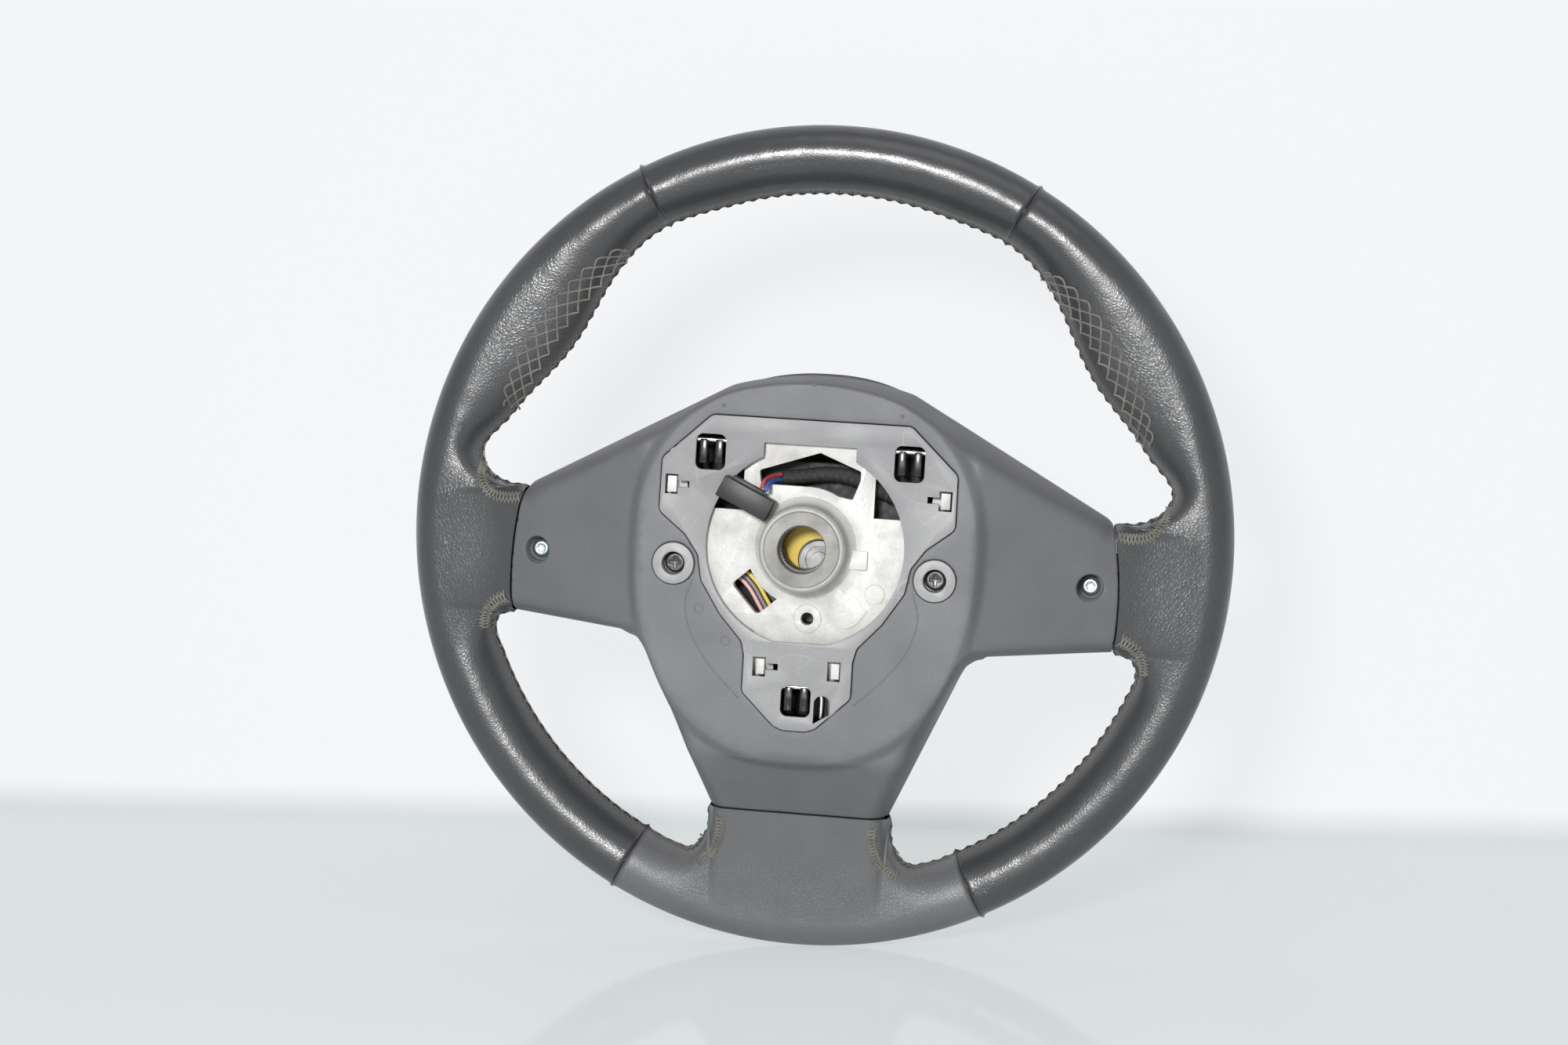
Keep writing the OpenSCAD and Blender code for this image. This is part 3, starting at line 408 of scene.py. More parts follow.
RIM_R, TUBE_W, TUBE_D, RIM_Y = 185.0, 29.5, 32.0, 70.0
CREST_OUT = 2.0  # the rim's highlights in the photograph put its crest this far outside the tube's middle
THUMB_W, THUMB_ANG, THUMB_SPAN, NECK_W = 13.0, 34.0, 24.0, 2.0
SEAM_TOP, SEAM_BOT, LEATHER_T, SEAM_GAP = 28.9, 27.3, 1.3, 0.4
ROOT_X, ROOT_BULGE, ROOT_UP, ROOT_DOWN = 133.0, 2.5, 15.6, 40.5
LOW_Z, LOW_HALF, SIDE_REAR, LOW_REAR = 121.0, 40.3, 46.0, 42.0
SPOKE_FRONT, PART_Y, EDGE_W = 72.0, 59.0, 9.0
COVER_Y, COVER_T, EGG_X, EGG_UP, EGG_DOWN, EGG_STEP = 12.5, 2.4, 73.0, 70.0, 93.0, 4.0
HUB_TOP, SHUT_GAP, EGG_N, PLATE_Y = 73.5, 0.4, 2.3, 12.0


def arr(points):
    return np.asarray(points, float)


def xy(x, y):
    return np.array([x, y], float)


def polar(r, degrees):
    return xy(r * math.cos(math.radians(degrees)), r * math.sin(math.radians(degrees)))


def unit(v):
    return v / np.linalg.norm(v, axis=-1, keepdims=True)


def smooth(v):
    v = np.clip(v, 0, 1)
    return v * v * (3 - 2 * v)


def quarter(v):
    """A quarter round from 0 to 1, steep at first and level at its end."""
    return np.sqrt(np.maximum(0, 1 - (1 - np.clip(v, 0, 1)) ** 2))


def bez(p, t):
    return (1 - t) ** 3 * p[0] + 3 * t * (1 - t) ** 2 * p[1] + 3 * t * t * (1 - t) * p[2] + t ** 3 * p[3]


ROOT_TOP, ROOT_LOW = xy(ROOT_X - 1.5, ROOT_UP), xy(ROOT_X + 1.5, -ROOT_DOWN)
HUB_SIDE = xy(40, HUB_TOP - 6)
SHOULDER = ROOT_TOP + xy(-2.4, 2.7)
CROTCH = [xy(76, -ROOT_DOWN - 6.7), xy(71, -ROOT_DOWN - 10.2), xy(68.5, -ROOT_DOWN - 15)]
LOW_CORNER = xy(LOW_HALF, -LOW_Z)
UPPER_EDGE = [xy(0, HUB_TOP), xy(20, HUB_TOP - 1.4), HUB_SIDE, SHOULDER, ROOT_TOP]
LOWER_EDGE = [ROOT_LOW] + CROTCH + [LOW_CORNER]


def root_curve(t):
    return ROOT_TOP + (ROOT_LOW - ROOT_TOP) * t + xy(ROOT_BULGE * 4 * t * (1 - t), 0)


def chain_far(points, chain):
    """How far each point lies from a chain of straight lines."""
    points, chain = arr(points), arr(chain)
    best = np.full(len(points), 1e9)
    for a, d in zip(chain, np.diff(chain, axis=0)):
        rel = points - a
        t = np.clip(rel @ d / max(1e-12, d @ d), 0, 1)
        best = np.minimum(best, np.linalg.norm(rel - t[:, None] * d, axis=1))
    return best


def edge_dist(p):
    q = xy(abs(p[0]), p[1])
    return min(chain_far([q], edge)[0] for edge in (UPPER_EDGE, LOWER_EDGE))


def egg_ratio(p, w=EGG_X, up=EGG_UP, down=EGG_DOWN):
    """1 on the egg-shaped outline, less inside it."""
    x, z = np.abs(p[..., 0]), p[..., 1]
    return ((x / w) ** EGG_N + (np.abs(z) / np.where(z > 0, up, down)) ** EGG_N) ** (1 / EGG_N)


def past_egg(p):
    return np.linalg.norm(p, axis=-1) * (1 - 1 / np.maximum(1e-6, egg_ratio(p)))


def rear_surface(p):
    """Depth of the cover's raised middle, its step and its falling spokes."""
    return (COVER_Y + EGG_STEP * smooth(past_egg(p) / 6)
            + (SIDE_REAR - COVER_Y - EGG_STEP) * np.maximum(0, np.abs(p[..., 0]) - EGG_X) / (ROOT_X - EGG_X)
            + (LOW_REAR - COVER_Y - EGG_STEP) * np.maximum(0, -p[..., 1] - EGG_DOWN) / (LOW_Z - EGG_DOWN))


def grip_bump(v):
    return math.cos(math.pi / 2 * v) ** 2 if abs(v) < 1 else 0.0


def inner_r(a):
    b = 90 - abs(a - 90)
    return (RIM_R - TUBE_W - THUMB_W * grip_bump((b - THUMB_ANG) / THUMB_SPAN)
            + NECK_W * grip_bump((b - 90 + SEAM_TOP) / 9))


def plain(a0, a1, n):
    return [(*polar(inner_r(a), a), a, 0.0, 0.0) for a in (a0 + (a1 - a0) * i / n for i in range(n + 1))]


def flank(curve, a0, a1, n):
    return [(*bez(curve, i / n), a0 + (a1 - a0) * i / n, i / n, 0.0) for i in range(1, n + 1)]


SEAM_A = math.degrees(math.atan(SEAM_GAP / 2 / RIM_R))
RIGHT_TOP, RIGHT_LOW = 90 - SEAM_TOP, -90 + SEAM_BOT
FILLET_TOP_A, FILLET_LOW_A, LOW_FILLET_A = 13.0, -23.2, -69.5


def mirrored_back(stations, turn=180):
    return [(-x, z, turn - a, m, o) for x, z, a, m, o in reversed(stations)]


def right_stations():
    upper = [polar(RIM_R - 25, FILLET_TOP_A), xy(RIM_R - 24, ROOT_UP + 3.6), xy(ROOT_X + 9, ROOT_UP - 1),
             ROOT_TOP]
    lower = [polar(inner_r(FILLET_LOW_A), FILLET_LOW_A), xy(RIM_R - 37.5, -ROOT_DOWN - 11.5),
             xy(RIM_R - 38, -ROOT_DOWN - 1.5), ROOT_LOW]
    top_end = math.degrees(math.atan((ROOT_UP - 4.5) / RIM_R))
    low_end = math.degrees(math.atan((-ROOT_DOWN - 2.5) / RIM_R))
    root = [(*p, top_end + (low_end - top_end) * t, 1.0, quarter(edge_dist(p) / EDGE_W))
            for t, p in ((t, root_curve(t)) for t in (0.02, 0.07, 0.16, 0.36, 0.64, 0.84, 0.93, 0.98))]
    return (plain(RIGHT_TOP - SEAM_A, FILLET_TOP_A + 5, 9) + flank(upper, FILLET_TOP_A, top_end, 6) + root
            + flank(lower, FILLET_LOW_A, low_end, 5)[::-1] + plain(FILLET_LOW_A, RIGHT_LOW + SEAM_A, 8))


def bottom_stations():
    low_end = -90 + math.degrees(math.atan((LOW_HALF - 2) / RIM_R))
    fillet = [polar(inner_r(LOW_FILLET_A), LOW_FILLET_A), xy(LOW_HALF + 5.7, -LOW_Z - 25),
              xy(LOW_HALF - 0.3, -LOW_Z - 16), LOW_CORNER]
    half = plain(RIGHT_LOW - SEAM_A, LOW_FILLET_A + 2, 1) + flank(fillet, LOW_FILLET_A, low_end, 6)
    for t in (0.025, 0.09, 0.19, 0.34):
        p = xy(LOW_HALF - 2 * LOW_HALF * t, -LOW_Z)
        half.append((*p, low_end + (-180 - 2 * low_end) * t, 1.0, quarter(edge_dist(p) / EDGE_W)))
    return half + [(0.0, -LOW_Z, -90.0, 1.0, 1.0)] + mirrored_back(half, -180)


class Panel:
    """The skin of one piece of leather, by distance along the rim and by angle round the tube.
    Angle 0 is the inner seam, 0 to 180 goes over the rear to the outside, 180 to 360 comes back in front."""

    def __init__(self, stations):
        s = np.array(stations, float)
        step = np.linalg.norm(np.diff(s[:, :2], axis=0), axis=1)
        outer = np.radians(np.abs(np.diff(s[:, 2]))) * RIM_R
        self.at = np.concatenate([[0], np.cumsum(np.maximum(step, outer * 0.6))])
        self.values = s
        self.length = self.at[-1]
        slope = np.gradient(s, self.at, axis=0)
        chord = np.diff(s, axis=0) / np.diff(self.at)[:, None]
        for col in (3, 4):
            for i in range(len(s)):
                near = [chord[j][col] for j in (i - 1, i) if 0 <= j < len(chord)]
                turns = len(near) == 2 and near[0] * near[1] <= 0
                most = 0 if turns else 2 * min(map(abs, near))
                slope[i][col] = math.copysign(min(abs(slope[i][col]), most), slope[i][col])
        self.slope = slope

    def station(self, d):
        i = int(np.clip(np.searchsorted(self.at, d) - 1, 0, len(self.at) - 2))
        h = self.at[i + 1] - self.at[i]
        t = (d - self.at[i]) / h
        a, b, va, vb = self.values[i], self.values[i + 1], self.slope[i] * h, self.slope[i + 1] * h
        return ((2 * t ** 3 - 3 * t ** 2 + 1) * a + (t ** 3 - 2 * t ** 2 + t) * va
                + (3 * t ** 2 - 2 * t ** 3) * b + (t ** 3 - t ** 2) * vb)

    def point(self, d, degrees, inset=0.0):
        x, z, angle, mid_share, opened = self.station(d)
        opened = min(1.0, max(0.0, opened))
        side = -1 if degrees <= 180 else 1
        around = math.radians(degrees if degrees <= 180 else 360 - degrees)
        inner, out = xy(x, z), polar(RIM_R, angle)
        w = np.linalg.norm(out - inner)
        half, mid_u = TUBE_D / 2 - inset, TUBE_W / 2
        reach = w - (0 if opened > 0 else inset)
        q = max(0.0, math.cos(around))
        if around <= math.pi / 2:
            u, rise = mid_u + (reach - mid_u) * q, math.sin(around)
        else:
            past = around - math.pi / 2
            u, rise = inset + (mid_u - inset) * (1 - math.sin(past)), math.cos(past)
        mid = RIM_Y + (PART_Y - RIM_Y) * mid_share * q * q
        y = mid + side * max(half * rise, SEAM_GAP / 2 if q > 0.999 else 0)
        if q > 0 and opened > 0:
            spoke = rear_surface(inner) + inset if side < 0 else SPOKE_FRONT - inset
            y += (RIM_Y + side * half + (spoke - RIM_Y - side * half) * q ** 1.3 - y) * opened
        lean = CREST_OUT * min(1.0, max(-1.0, (RIM_Y - y) / (TUBE_D / 2))) * (1 - opened * q)
        p = out + (inner - out) / w * (u - lean)
        return np.array([p[0], y, p[1]])

    def frame_at(self, d, degrees):
        """Point, direction round the tube and outward normal."""
        e = 0.4
        p = self.point(d, degrees)
        d0, d1 = max(0.0, d - e), min(self.length, d + e)
        along = unit(self.point(d1, degrees) - self.point(d0, degrees))
        round_ = unit(self.point(d, degrees + 2) - self.point(d, max(0.5, degrees - 2)))
        return p, round_, unit(np.cross(round_, along))


RIGHT = Panel(right_stations())
LEFT = Panel(mirrored_back(right_stations()))
BOTTOM = Panel(bottom_stations())
TOP = Panel(plain(180 - RIGHT_TOP - SEAM_A, RIGHT_TOP + SEAM_A, 12))
AROUND = 44
STITCH = 5.6


def grain_and_sheen_at(p):
    """How creased the leather is, rough on the spoke roots and thumb rests and smooth on the rest; the same
    share also paints the leather paler there as painted sheen.
    """
    x, z = abs(p[0]), p[2]
    root = math.exp(-((x - 158) / 16) ** 2 - ((z + 12) / 34) ** 2)
    thumb = 0.62 * math.exp(-((x - 138) / 26) ** 2 - ((z - 78) / 42) ** 2)
    low = math.exp(-(x / 62) ** 2 - ((z + 156) / 16) ** 2)
    sides = 0.32 * math.exp(-((z + 20) / 90) ** 2)
    return min(1.0, 0.10 + max(root, thumb, low, sides))


def leather_skin(key, panel, finish):
    """A closed wall of leather: rounded at its ends, drawn in at the inner seam, puckered by its stitches."""
    n = max(12, int(panel.length / 1.5))
    ends = [0.0, 0.15, 0.4, 0.8, 1.3, 1.9]
    run = sorted(set(ends + [panel.length - e for e in ends]
                     + [2.4 + (panel.length - 4.8) * i / n for i in range(n + 1)]))
    half = [180 * (1 - math.cos(math.pi * i / AROUND)) / 2 * 0.45 + 180 * i / AROUND * 0.55
            for i in range(AROUND + 1)]
    angles = half + [360 - a for a in reversed(half[:-1])]
    under = angles[::-4]
    points, grain, seam = [], [], []
    for d in run:
        opened = panel.station(d)[4]
        to_end = min(d, panel.length - d)
        drop = 1.15 * (1 - quarter(to_end / 2.2))
        pucker = 0.62 + 0.38 * math.cos(2 * math.pi * d / STITCH)
        for a in angles:
            off = min(a, 360 - a)
            p = panel.point(d, a)
            lip = max(0.0, 1 - off / 7.0) * (1 - min(1.0, opened * 3))
            pull = 1.25 * lip * lip * pucker
            roll = 0.7 * max(0.0, 1 - off / 5.5) ** 2 * min(1.0, opened * 2)
            if drop > 0.02 or pull > 0.02 or opened > 0.2:
                p = p - panel.frame_at(d, min(max(a, 3.0), 357.0))[2] * (drop + pull + roll)
            points.append(p)
            grain.append(grain_and_sheen_at(p))
            # share of painted shade: full at the panel ends and along the drawn-in inner seam
            seam.append(min(1.0, max(0.0, 1 - to_end / 1.6) + 0.8 * lip * lip))
        points += [panel.point(d, a, LEATHER_T + drop * 0.3) for a in under]
        grain += [0.0] * len(under)
        seam += [1.0] * len(under)
    outer, ring, rows = len(angles), len(angles) + len(under), len(run)
    faces = wrapped(rows, ring)
    for base, turn in ((0, 1), ((rows - 1) * ring, -1)):
        for j in range(len(under) - 1):
            last = base + outer - 1 - 4 * j
            cap = [base + outer + j, base + outer + j + 1] + list(range(max(base, last - 4), last + 1))
            faces.append(cap[::turn])
    obj = mesh_piece(key + "_leather", points, faces, finish, replaces=("leather_" + key,), slot="leather",
                     angle=50)
    for label, values in (("grain", grain), ("seam", seam)):
        obj.data.attributes.new(label, "FLOAT", "POINT").data.foreach_set("value", values)
    rework(obj.data, turn_outwards)
    return obj


# Flat-lying shells: plan outlines in X and Z, lifted to their surfaces

def closed(loop):
    return np.concatenate([loop, loop[:1]])


def fillet(points, radius, steps=6):
    """A chain of points with each inner corner rounded."""
    points = [arr(p) for p in points]
    out = [points[0]]
    for a, p, b in zip(points, points[1:], points[2:]):
        u, v = unit(a - p), unit(b - p)
        half = math.acos(max(-1.0, min(1.0, float(np.dot(u, v))))) / 2
        t = min(radius / math.tan(half), 0.45 * np.linalg.norm(a - p), 0.45 * np.linalg.norm(b - p))
        p0, p1 = p + u * t, p + v * t
        out += [(1 - s) ** 2 * p0 + 2 * s * (1 - s) * p + s * s * p1 for s in np.linspace(0, 1, steps)]
    return out + [points[-1]]


def lengths(chain):
    """How far along a chain each of its points lies."""
    return np.concatenate([[0], np.cumsum(np.linalg.norm(np.diff(chain, axis=0), axis=1))])


def spaced(chain, step):
    """The chain sampled about every step, its own ends kept."""
    chain = arr(chain)
    at = lengths(chain)
    s = np.linspace(0, at[-1], max(2, int(round(at[-1] / step)) + 1))
    return np.stack([np.interp(s, at, chain[:, k]) for k in range(chain.shape[1])], 1)


def mirror_x(points):
    return arr(points)[::-1] * [-1, 1]


def within(points, loop):
    """Which points lie inside a closed loop."""
    points, loop = arr(points), arr(loop)
    hit = np.zeros(len(points), bool)
    for p, q in zip(loop, np.roll(loop, -1, axis=0)):
        cross = (p[1] > points[:, 1]) != (q[1] > points[:, 1])
        if abs(q[1] - p[1]) > 1e-12:
            hit ^= cross & (points[:, 0] < (q[0] - p[0]) * (points[:, 1] - p[1]) / (q[1] - p[1]) + p[0])
    return hit


UPPER_FINE = [xy(x, HUB_TOP - 6 * (x / 40) ** 2) for x in np.linspace(0, 36, 13)]
UPPER_FINE += fillet([UPPER_FINE[-1], HUB_SIDE, SHOULDER, ROOT_TOP], 14)[1:]
LOWER_FINE = fillet(LOWER_EDGE, 9)


def edge_far(p):
    q = np.abs(p) * [1, 0] + p * [0, 1]
    return np.minimum(chain_far(q, UPPER_FINE), chain_far(q, LOWER_FINE))


def edge_width(p):
    return np.clip(3 + 0.9 * past_egg(p), 3, EDGE_W)


def edge_share(p):
    return quarter(edge_far(p) / edge_width(p))


def cover_outline():
    """The cover's edge clockwise from the top."""
    side = [root_curve(t) - [SHUT_GAP, 0] for t in np.linspace(0, 1, 30)]
    low = [xy(LOW_HALF - 2 * LOW_HALF * t, -LOW_Z + SHUT_GAP) for t in np.linspace(0, 0.5, 16)]
    runs = [spaced(UPPER_FINE[:-1], 1.8), arr(side), spaced(LOWER_FINE[1:-1], 1.8), arr(low)]
    points = np.concatenate(runs)
    return np.concatenate([points, mirror_x(points)[1:-1]])


OUTLINE = cover_outline()
LEATHER_EDGES = [[root_curve(t) - [SHUT_GAP, 0] for t in np.linspace(0, 1, 30)],
                 [xy(-LOW_HALF, -LOW_Z + SHUT_GAP), xy(LOW_HALF, -LOW_Z + SHUT_GAP)]]


def leather_far(p):
    q = np.abs(p) * [1, 0] + p * [0, 1]
    return np.minimum(chain_far(q, LEATHER_EDGES[0]), chain_far(p, LEATHER_EDGES[1]))


def loop_rows(loop, distances, scale):
    """Points inside a clockwise loop at set distances from it, but for those nearer to another side."""
    ahead, behind = np.roll(loop, -1, axis=0) - loop, loop - np.roll(loop, 1, axis=0)
    t = unit(unit(ahead) + unit(behind))
    inward = np.stack([t[:, 1], -t[:, 0]], 1)
    out = []
    for d in distances:
        far = d * scale
        p = loop + inward * far[:, None]
        out.append(p[chain_far(p, closed(loop)) > 0.93 * far])
    return np.concatenate(out)


def turn_loop(x, z, r, n=40):
    a = np.linspace(0, 2 * math.pi, n, endpoint=False)
    return np.stack([x + r * np.sin(a), z + r * np.cos(a)], 1)


def grid_points(step, low, high):
    xs, zs = np.arange(low[0], high[0], step), np.arange(low[1], high[1], step)
    g = np.stack(np.meshgrid(xs, zs), -1).reshape(-1, 2)
    g[:, 0] += np.where(np.round(g[:, 1] / step) % 2 == 0, 0, step / 2)
    return g


def sheet(name, loops, loose, keep, near, far, finish, **ride):
    """A closed shell over a plan: its near and far surfaces are depths over the same triangles."""
    points, edges = [], []
    for loop in loops:
        n = len(points)
        points += list(loop)
        edges += [(n + i, n + (i + 1) % len(loop)) for i in range(len(loop))]
    points += list(loose)
    plan = [Vector((float(p[0]), float(p[1]))) for p in points]
    flat, _, faces, *_ = delaunay_2d_cdt(plan, edges, [], 0, 1e-5)
    flat, faces = arr([tuple(v) for v in flat]), np.array(faces)
    faces = faces[keep(flat[faces].mean(axis=1))]
    used, faces = np.unique(faces, return_inverse=True)
    faces = faces.reshape(-1, 3)
    flat = flat[used]
    n = len(flat)
    y0, y1 = near(flat), far(flat)
    back = np.where(np.abs(y1 - y0) < 1e-3, np.arange(n), np.arange(n) + n)
    edges = [e for a, b, c in faces for e in ((a, b), (b, c), (c, a))]
    ways = set(edges)
    quads = []
    for a, b in dict.fromkeys(edges):
        if (b, a) not in ways:
            quad = list(dict.fromkeys((b, a, back[a], back[b])))
            if len(quad) > 2:
                quads.append(quad)
    verts = np.concatenate([np.stack([flat[:, 0], y, flat[:, 1]], 1) for y in (y0, y1)])
    everything = [list(f) for f in faces] + [list(back[f[::-1]]) for f in faces] + quads
    obj = mesh_piece(name, verts, everything, finish, **ride)
    rework(obj.data, drop_loose, turn_outwards)
    return obj


def cad_outline(node, depth):
    """The longest loop of a CAD node's flat face at a depth, clockwise, in millimetres."""
    bm = bmesh.new()
    bm.from_mesh(nodes[node].data)
    merge_points(bm)
    flat = [f for f in bm.faces if all(abs(v.co.y / MM - depth) < 0.02 for v in f.verts)]
    inside = set(flat)
    rim = {}
    for f in flat:
        for loop in f.loops:
            if sum(1 for g in loop.edge.link_faces if g in inside) == 1:
                rim.setdefault(loop.vert.index, []).append(loop.link_loop_next.vert.index)
    bm.verts.ensure_lookup_table()
    loops = []
    while rim:
        chain = [next(iter(rim))]
        while chain[-1] in rim:
            ways = rim[chain[-1]]
            step = ways.pop(0)
            if not ways:
                del rim[chain[-1]]
            if step == chain[0]:
                break
            chain.append(step)
        loops.append(arr([(bm.verts[i].co.x / MM, bm.verts[i].co.z / MM) for i in chain]))
    bm.free()
    loop = max(loops, key=lambda p: np.ptp(p[:, 0]) * np.ptp(p[:, 1]))
    area = np.sum(loop[:, 0] * np.roll(loop[:, 1], -1) - np.roll(loop[:, 0], -1) * loop[:, 1])
    return loop[::-1] if area > 0 else loop


# Places of the screws, their sleeves and cups
SLEEVE_X, SLEEVE_Z, SLEEVE_R = 56.7, -10.5, 9.0
TORX_X, TORX_Z, TORX_R, CUP_FLOOR = 123.0, -11.3, 5.7, 52.5
# Rows of points across an edge, closer together where it curves most
EDGE_ROWS = [1 - math.cos(math.radians(a)) for a in (3, 7, 12, 18, 25, 33, 41, 50, 59, 68, 77, 86)]


def grown(loop, by):
    """A clockwise loop moved outwards."""
    loop = arr(loop)
    a, b = np.roll(loop, 1, axis=0), np.roll(loop, -1, axis=0)
    t = unit(b - a)
    return loop + by * np.stack([-t[:, 1], t[:, 0]], 1)


def between(points, loop, holes):
    """Which points lie inside a loop and outside its holes."""
    ok = within(points, loop)
    for h in holes:
        ok &= ~within(points, h)
    return ok


def rear_cover():
    """The cover's skin, and its rear depth for what sits on it."""
    plate = spaced(closed(grown(cad_outline("hub_plate", PLATE_Y), SHUT_GAP)), 1.6)[:-1]
    bores = [(s * x, z, r + 0.3) for x, z, r in ((SLEEVE_X, SLEEVE_Z, SLEEVE_R), (TORX_X, TORX_Z, TORX_R))
             for s in (-1, 1)]
    cuts = [plate] + [turn_loop(*bore) for bore in bores]
    holes = [closed(c) for c in cuts]
    rows = loop_rows(OUTLINE, EDGE_ROWS, edge_width(OUTLINE))
    rows = rows[~within(rows, grown(plate, 0.8))]
    turn = np.linspace(0, 2 * math.pi, 240, endpoint=False)
    rays = np.stack([np.cos(turn), np.sin(turn)], 1)
    step = np.concatenate([rays * (1 / egg_ratio(rays) + d)[:, None]
                           for d in (0.05, 0.9, 1.8, 2.7, 3.6, 4.5, 5.4, 6.2)])
    step = step[within(step, OUTLINE) & (edge_far(step) > 2.0)]
    rings = [turn_loop(x, z, r + d) for x, z, r in bores[::2] + bores[1::2] for d in (0.12, 0.3, 0.6, 1.4)]
    rings += [grown(plate, d) for d in (0.12, 0.3, 0.6)]
    grid = grid_points(3.0, (-136, -122), (136, 76))
    held = within(grid, OUTLINE) & (edge_far(grid) > 3) & ~within(grid, grown(plate, 1.5))
    held &= np.abs(past_egg(grid) - 3) > 4.2

    def lip(p, size):
        d = np.minimum.reduce([chain_far(p, h) for h in holes] + [leather_far(p)])
        return size * (1 - quarter(d / size))

    def outside(p):
        return PART_Y + (rear_surface(p) + lip(p, 0.55) - PART_Y) * edge_share(p)

    def inside(p):
        wall = np.maximum(PART_Y + (rear_surface(p) + COVER_T - PART_Y) * edge_share(p), outside(p) + 0.9)
        return np.where(edge_far(p) < 0.02, outside(p), np.minimum(PART_Y, wall))

    sheet("rear_cover_skin", [OUTLINE] + cuts, np.concatenate([rows, step, grid[held]] + rings),
          lambda c: between(c, OUTLINE, holes), outside, inside, "cover", replaces=("rear_cover",),
          slot="cover_grey")
    return outside


def lathe(name, profile, x, z, finish, sides=56, **ride):
    """A closed ring or plug turned about the depth axis, from radius and depth pairs."""
    turns = [2 * math.pi * k / sides for k in range(sides)]
    points = [(x + r * math.cos(a), y, z + r * math.sin(a)) for a in turns for r, y in profile]
    obj = mesh_piece(name, points, wrapped(sides, len(profile), closed_run=True), finish, **ride)
    rework(obj.data, merge_points, turn_outwards)
    return obj


def cad_copy(node, name, *steps):
    """A merged copy of a CAD node's mesh in an object of its own."""
    obj = place(name, nodes[node].data.copy())
    rework(obj.data, merge_points, *steps)
    return obj


def join_flats(bm):
    bmesh.ops.dissolve_limit(bm, angle_limit=math.radians(0.6), verts=bm.verts, edges=bm.edges)


def softened(node, width, finish, slot, body="wheel", segments=2):
    """A CAD node's shape with its edges eased."""
    obj = cad_copy(node, node + "_eased", join_flats)
    ease = obj.modifiers.new("ease", "BEVEL")
    ease.width, ease.segments = width * MM, segments
    ease.limit_method, ease.angle_limit = "ANGLE", math.radians(32)
    ease.harden_normals = False
    obj.data = settled(obj)
    dress(obj, finish, body, slot, (node,), 50)


def foam_core(by=1.4):
    """The foam with its skin drawn in a little, so that the leather lies clear of it."""
    def draw_in(bm):
        bm.normal_update()
        for v, n in [(v, v.normal.copy()) for v in bm.verts]:
            v.co -= n * by * MM

    obj = cad_copy("rim_foam", "foam_core", turn_outwards, draw_in)
    dress(obj, "foam", slot="foam", replaces=("rim_foam",), angle=50)


def settled(obj):
    """The object's mesh with its modifiers applied and taken off."""
    bpy.context.view_layer.update()
    mesh = bpy.data.meshes.new_from_object(obj.evaluated_get(bpy.context.evaluated_depsgraph_get()))
    obj.modifiers.clear()
    return mesh


def curve_through(route, per=8):
    """A smooth line through points."""
    p = arr(route)
    p = np.concatenate([[2 * p[0] - p[1]], p, [2 * p[-1] - p[-2]]])
    out = []
    for i in range(1, len(p) - 2):
        for t in np.linspace(0, 1, per, endpoint=False):
            a, b, c, d = p[i - 1:i + 3]
            out.append(0.5 * (2 * b + (c - a) * t + (2 * a - 5 * b + 4 * c - d) * t * t
                              + (3 * b - a - 3 * c + d) * t ** 3))
    return arr(out + [p[-2]])


def tube_piece(name, routes, radius, finish, sides=12, swell=None, **ride):
    """Round wires along smooth routes, with rounded ends."""
    points, faces = [], []
    for route in routes:
        line = arr(route)
        t = unit(np.gradient(line, axis=0))
        u = unit(np.cross(t, [0.1, 1, 0.2]))
        v = np.cross(t, u)
        thick = [radius * (1 + (swell(d) if swell else 0)) for d in lengths(line)]
        ends = [(-0.7, 0.45), (-0.35, 0.85)]
        rings = [(line[0] + t[0] * radius * e * 0.7, u[0], v[0], radius * s) for e, s in ends]
        rings += list(zip(line, u, v, thick))
        rings += [(line[-1] - t[-1] * radius * e * 0.7, u[-1], v[-1], radius * s) for e, s in reversed(ends)]
        base = len(points)
        for c, a, b, r in rings:
            points += [c + r * (math.cos(k) * a + math.sin(k) * b)
                       for k in np.arange(sides) * 2 * math.pi / sides]
        faces += wrapped(len(rings), sides, base)
        faces.append(range(base, base + sides)[::-1])
        faces.append(range(len(points) - sides, len(points)))
    obj = mesh_piece(name, points, faces, finish, **ride)
    rework(obj.data, turn_outwards)


# Stitches

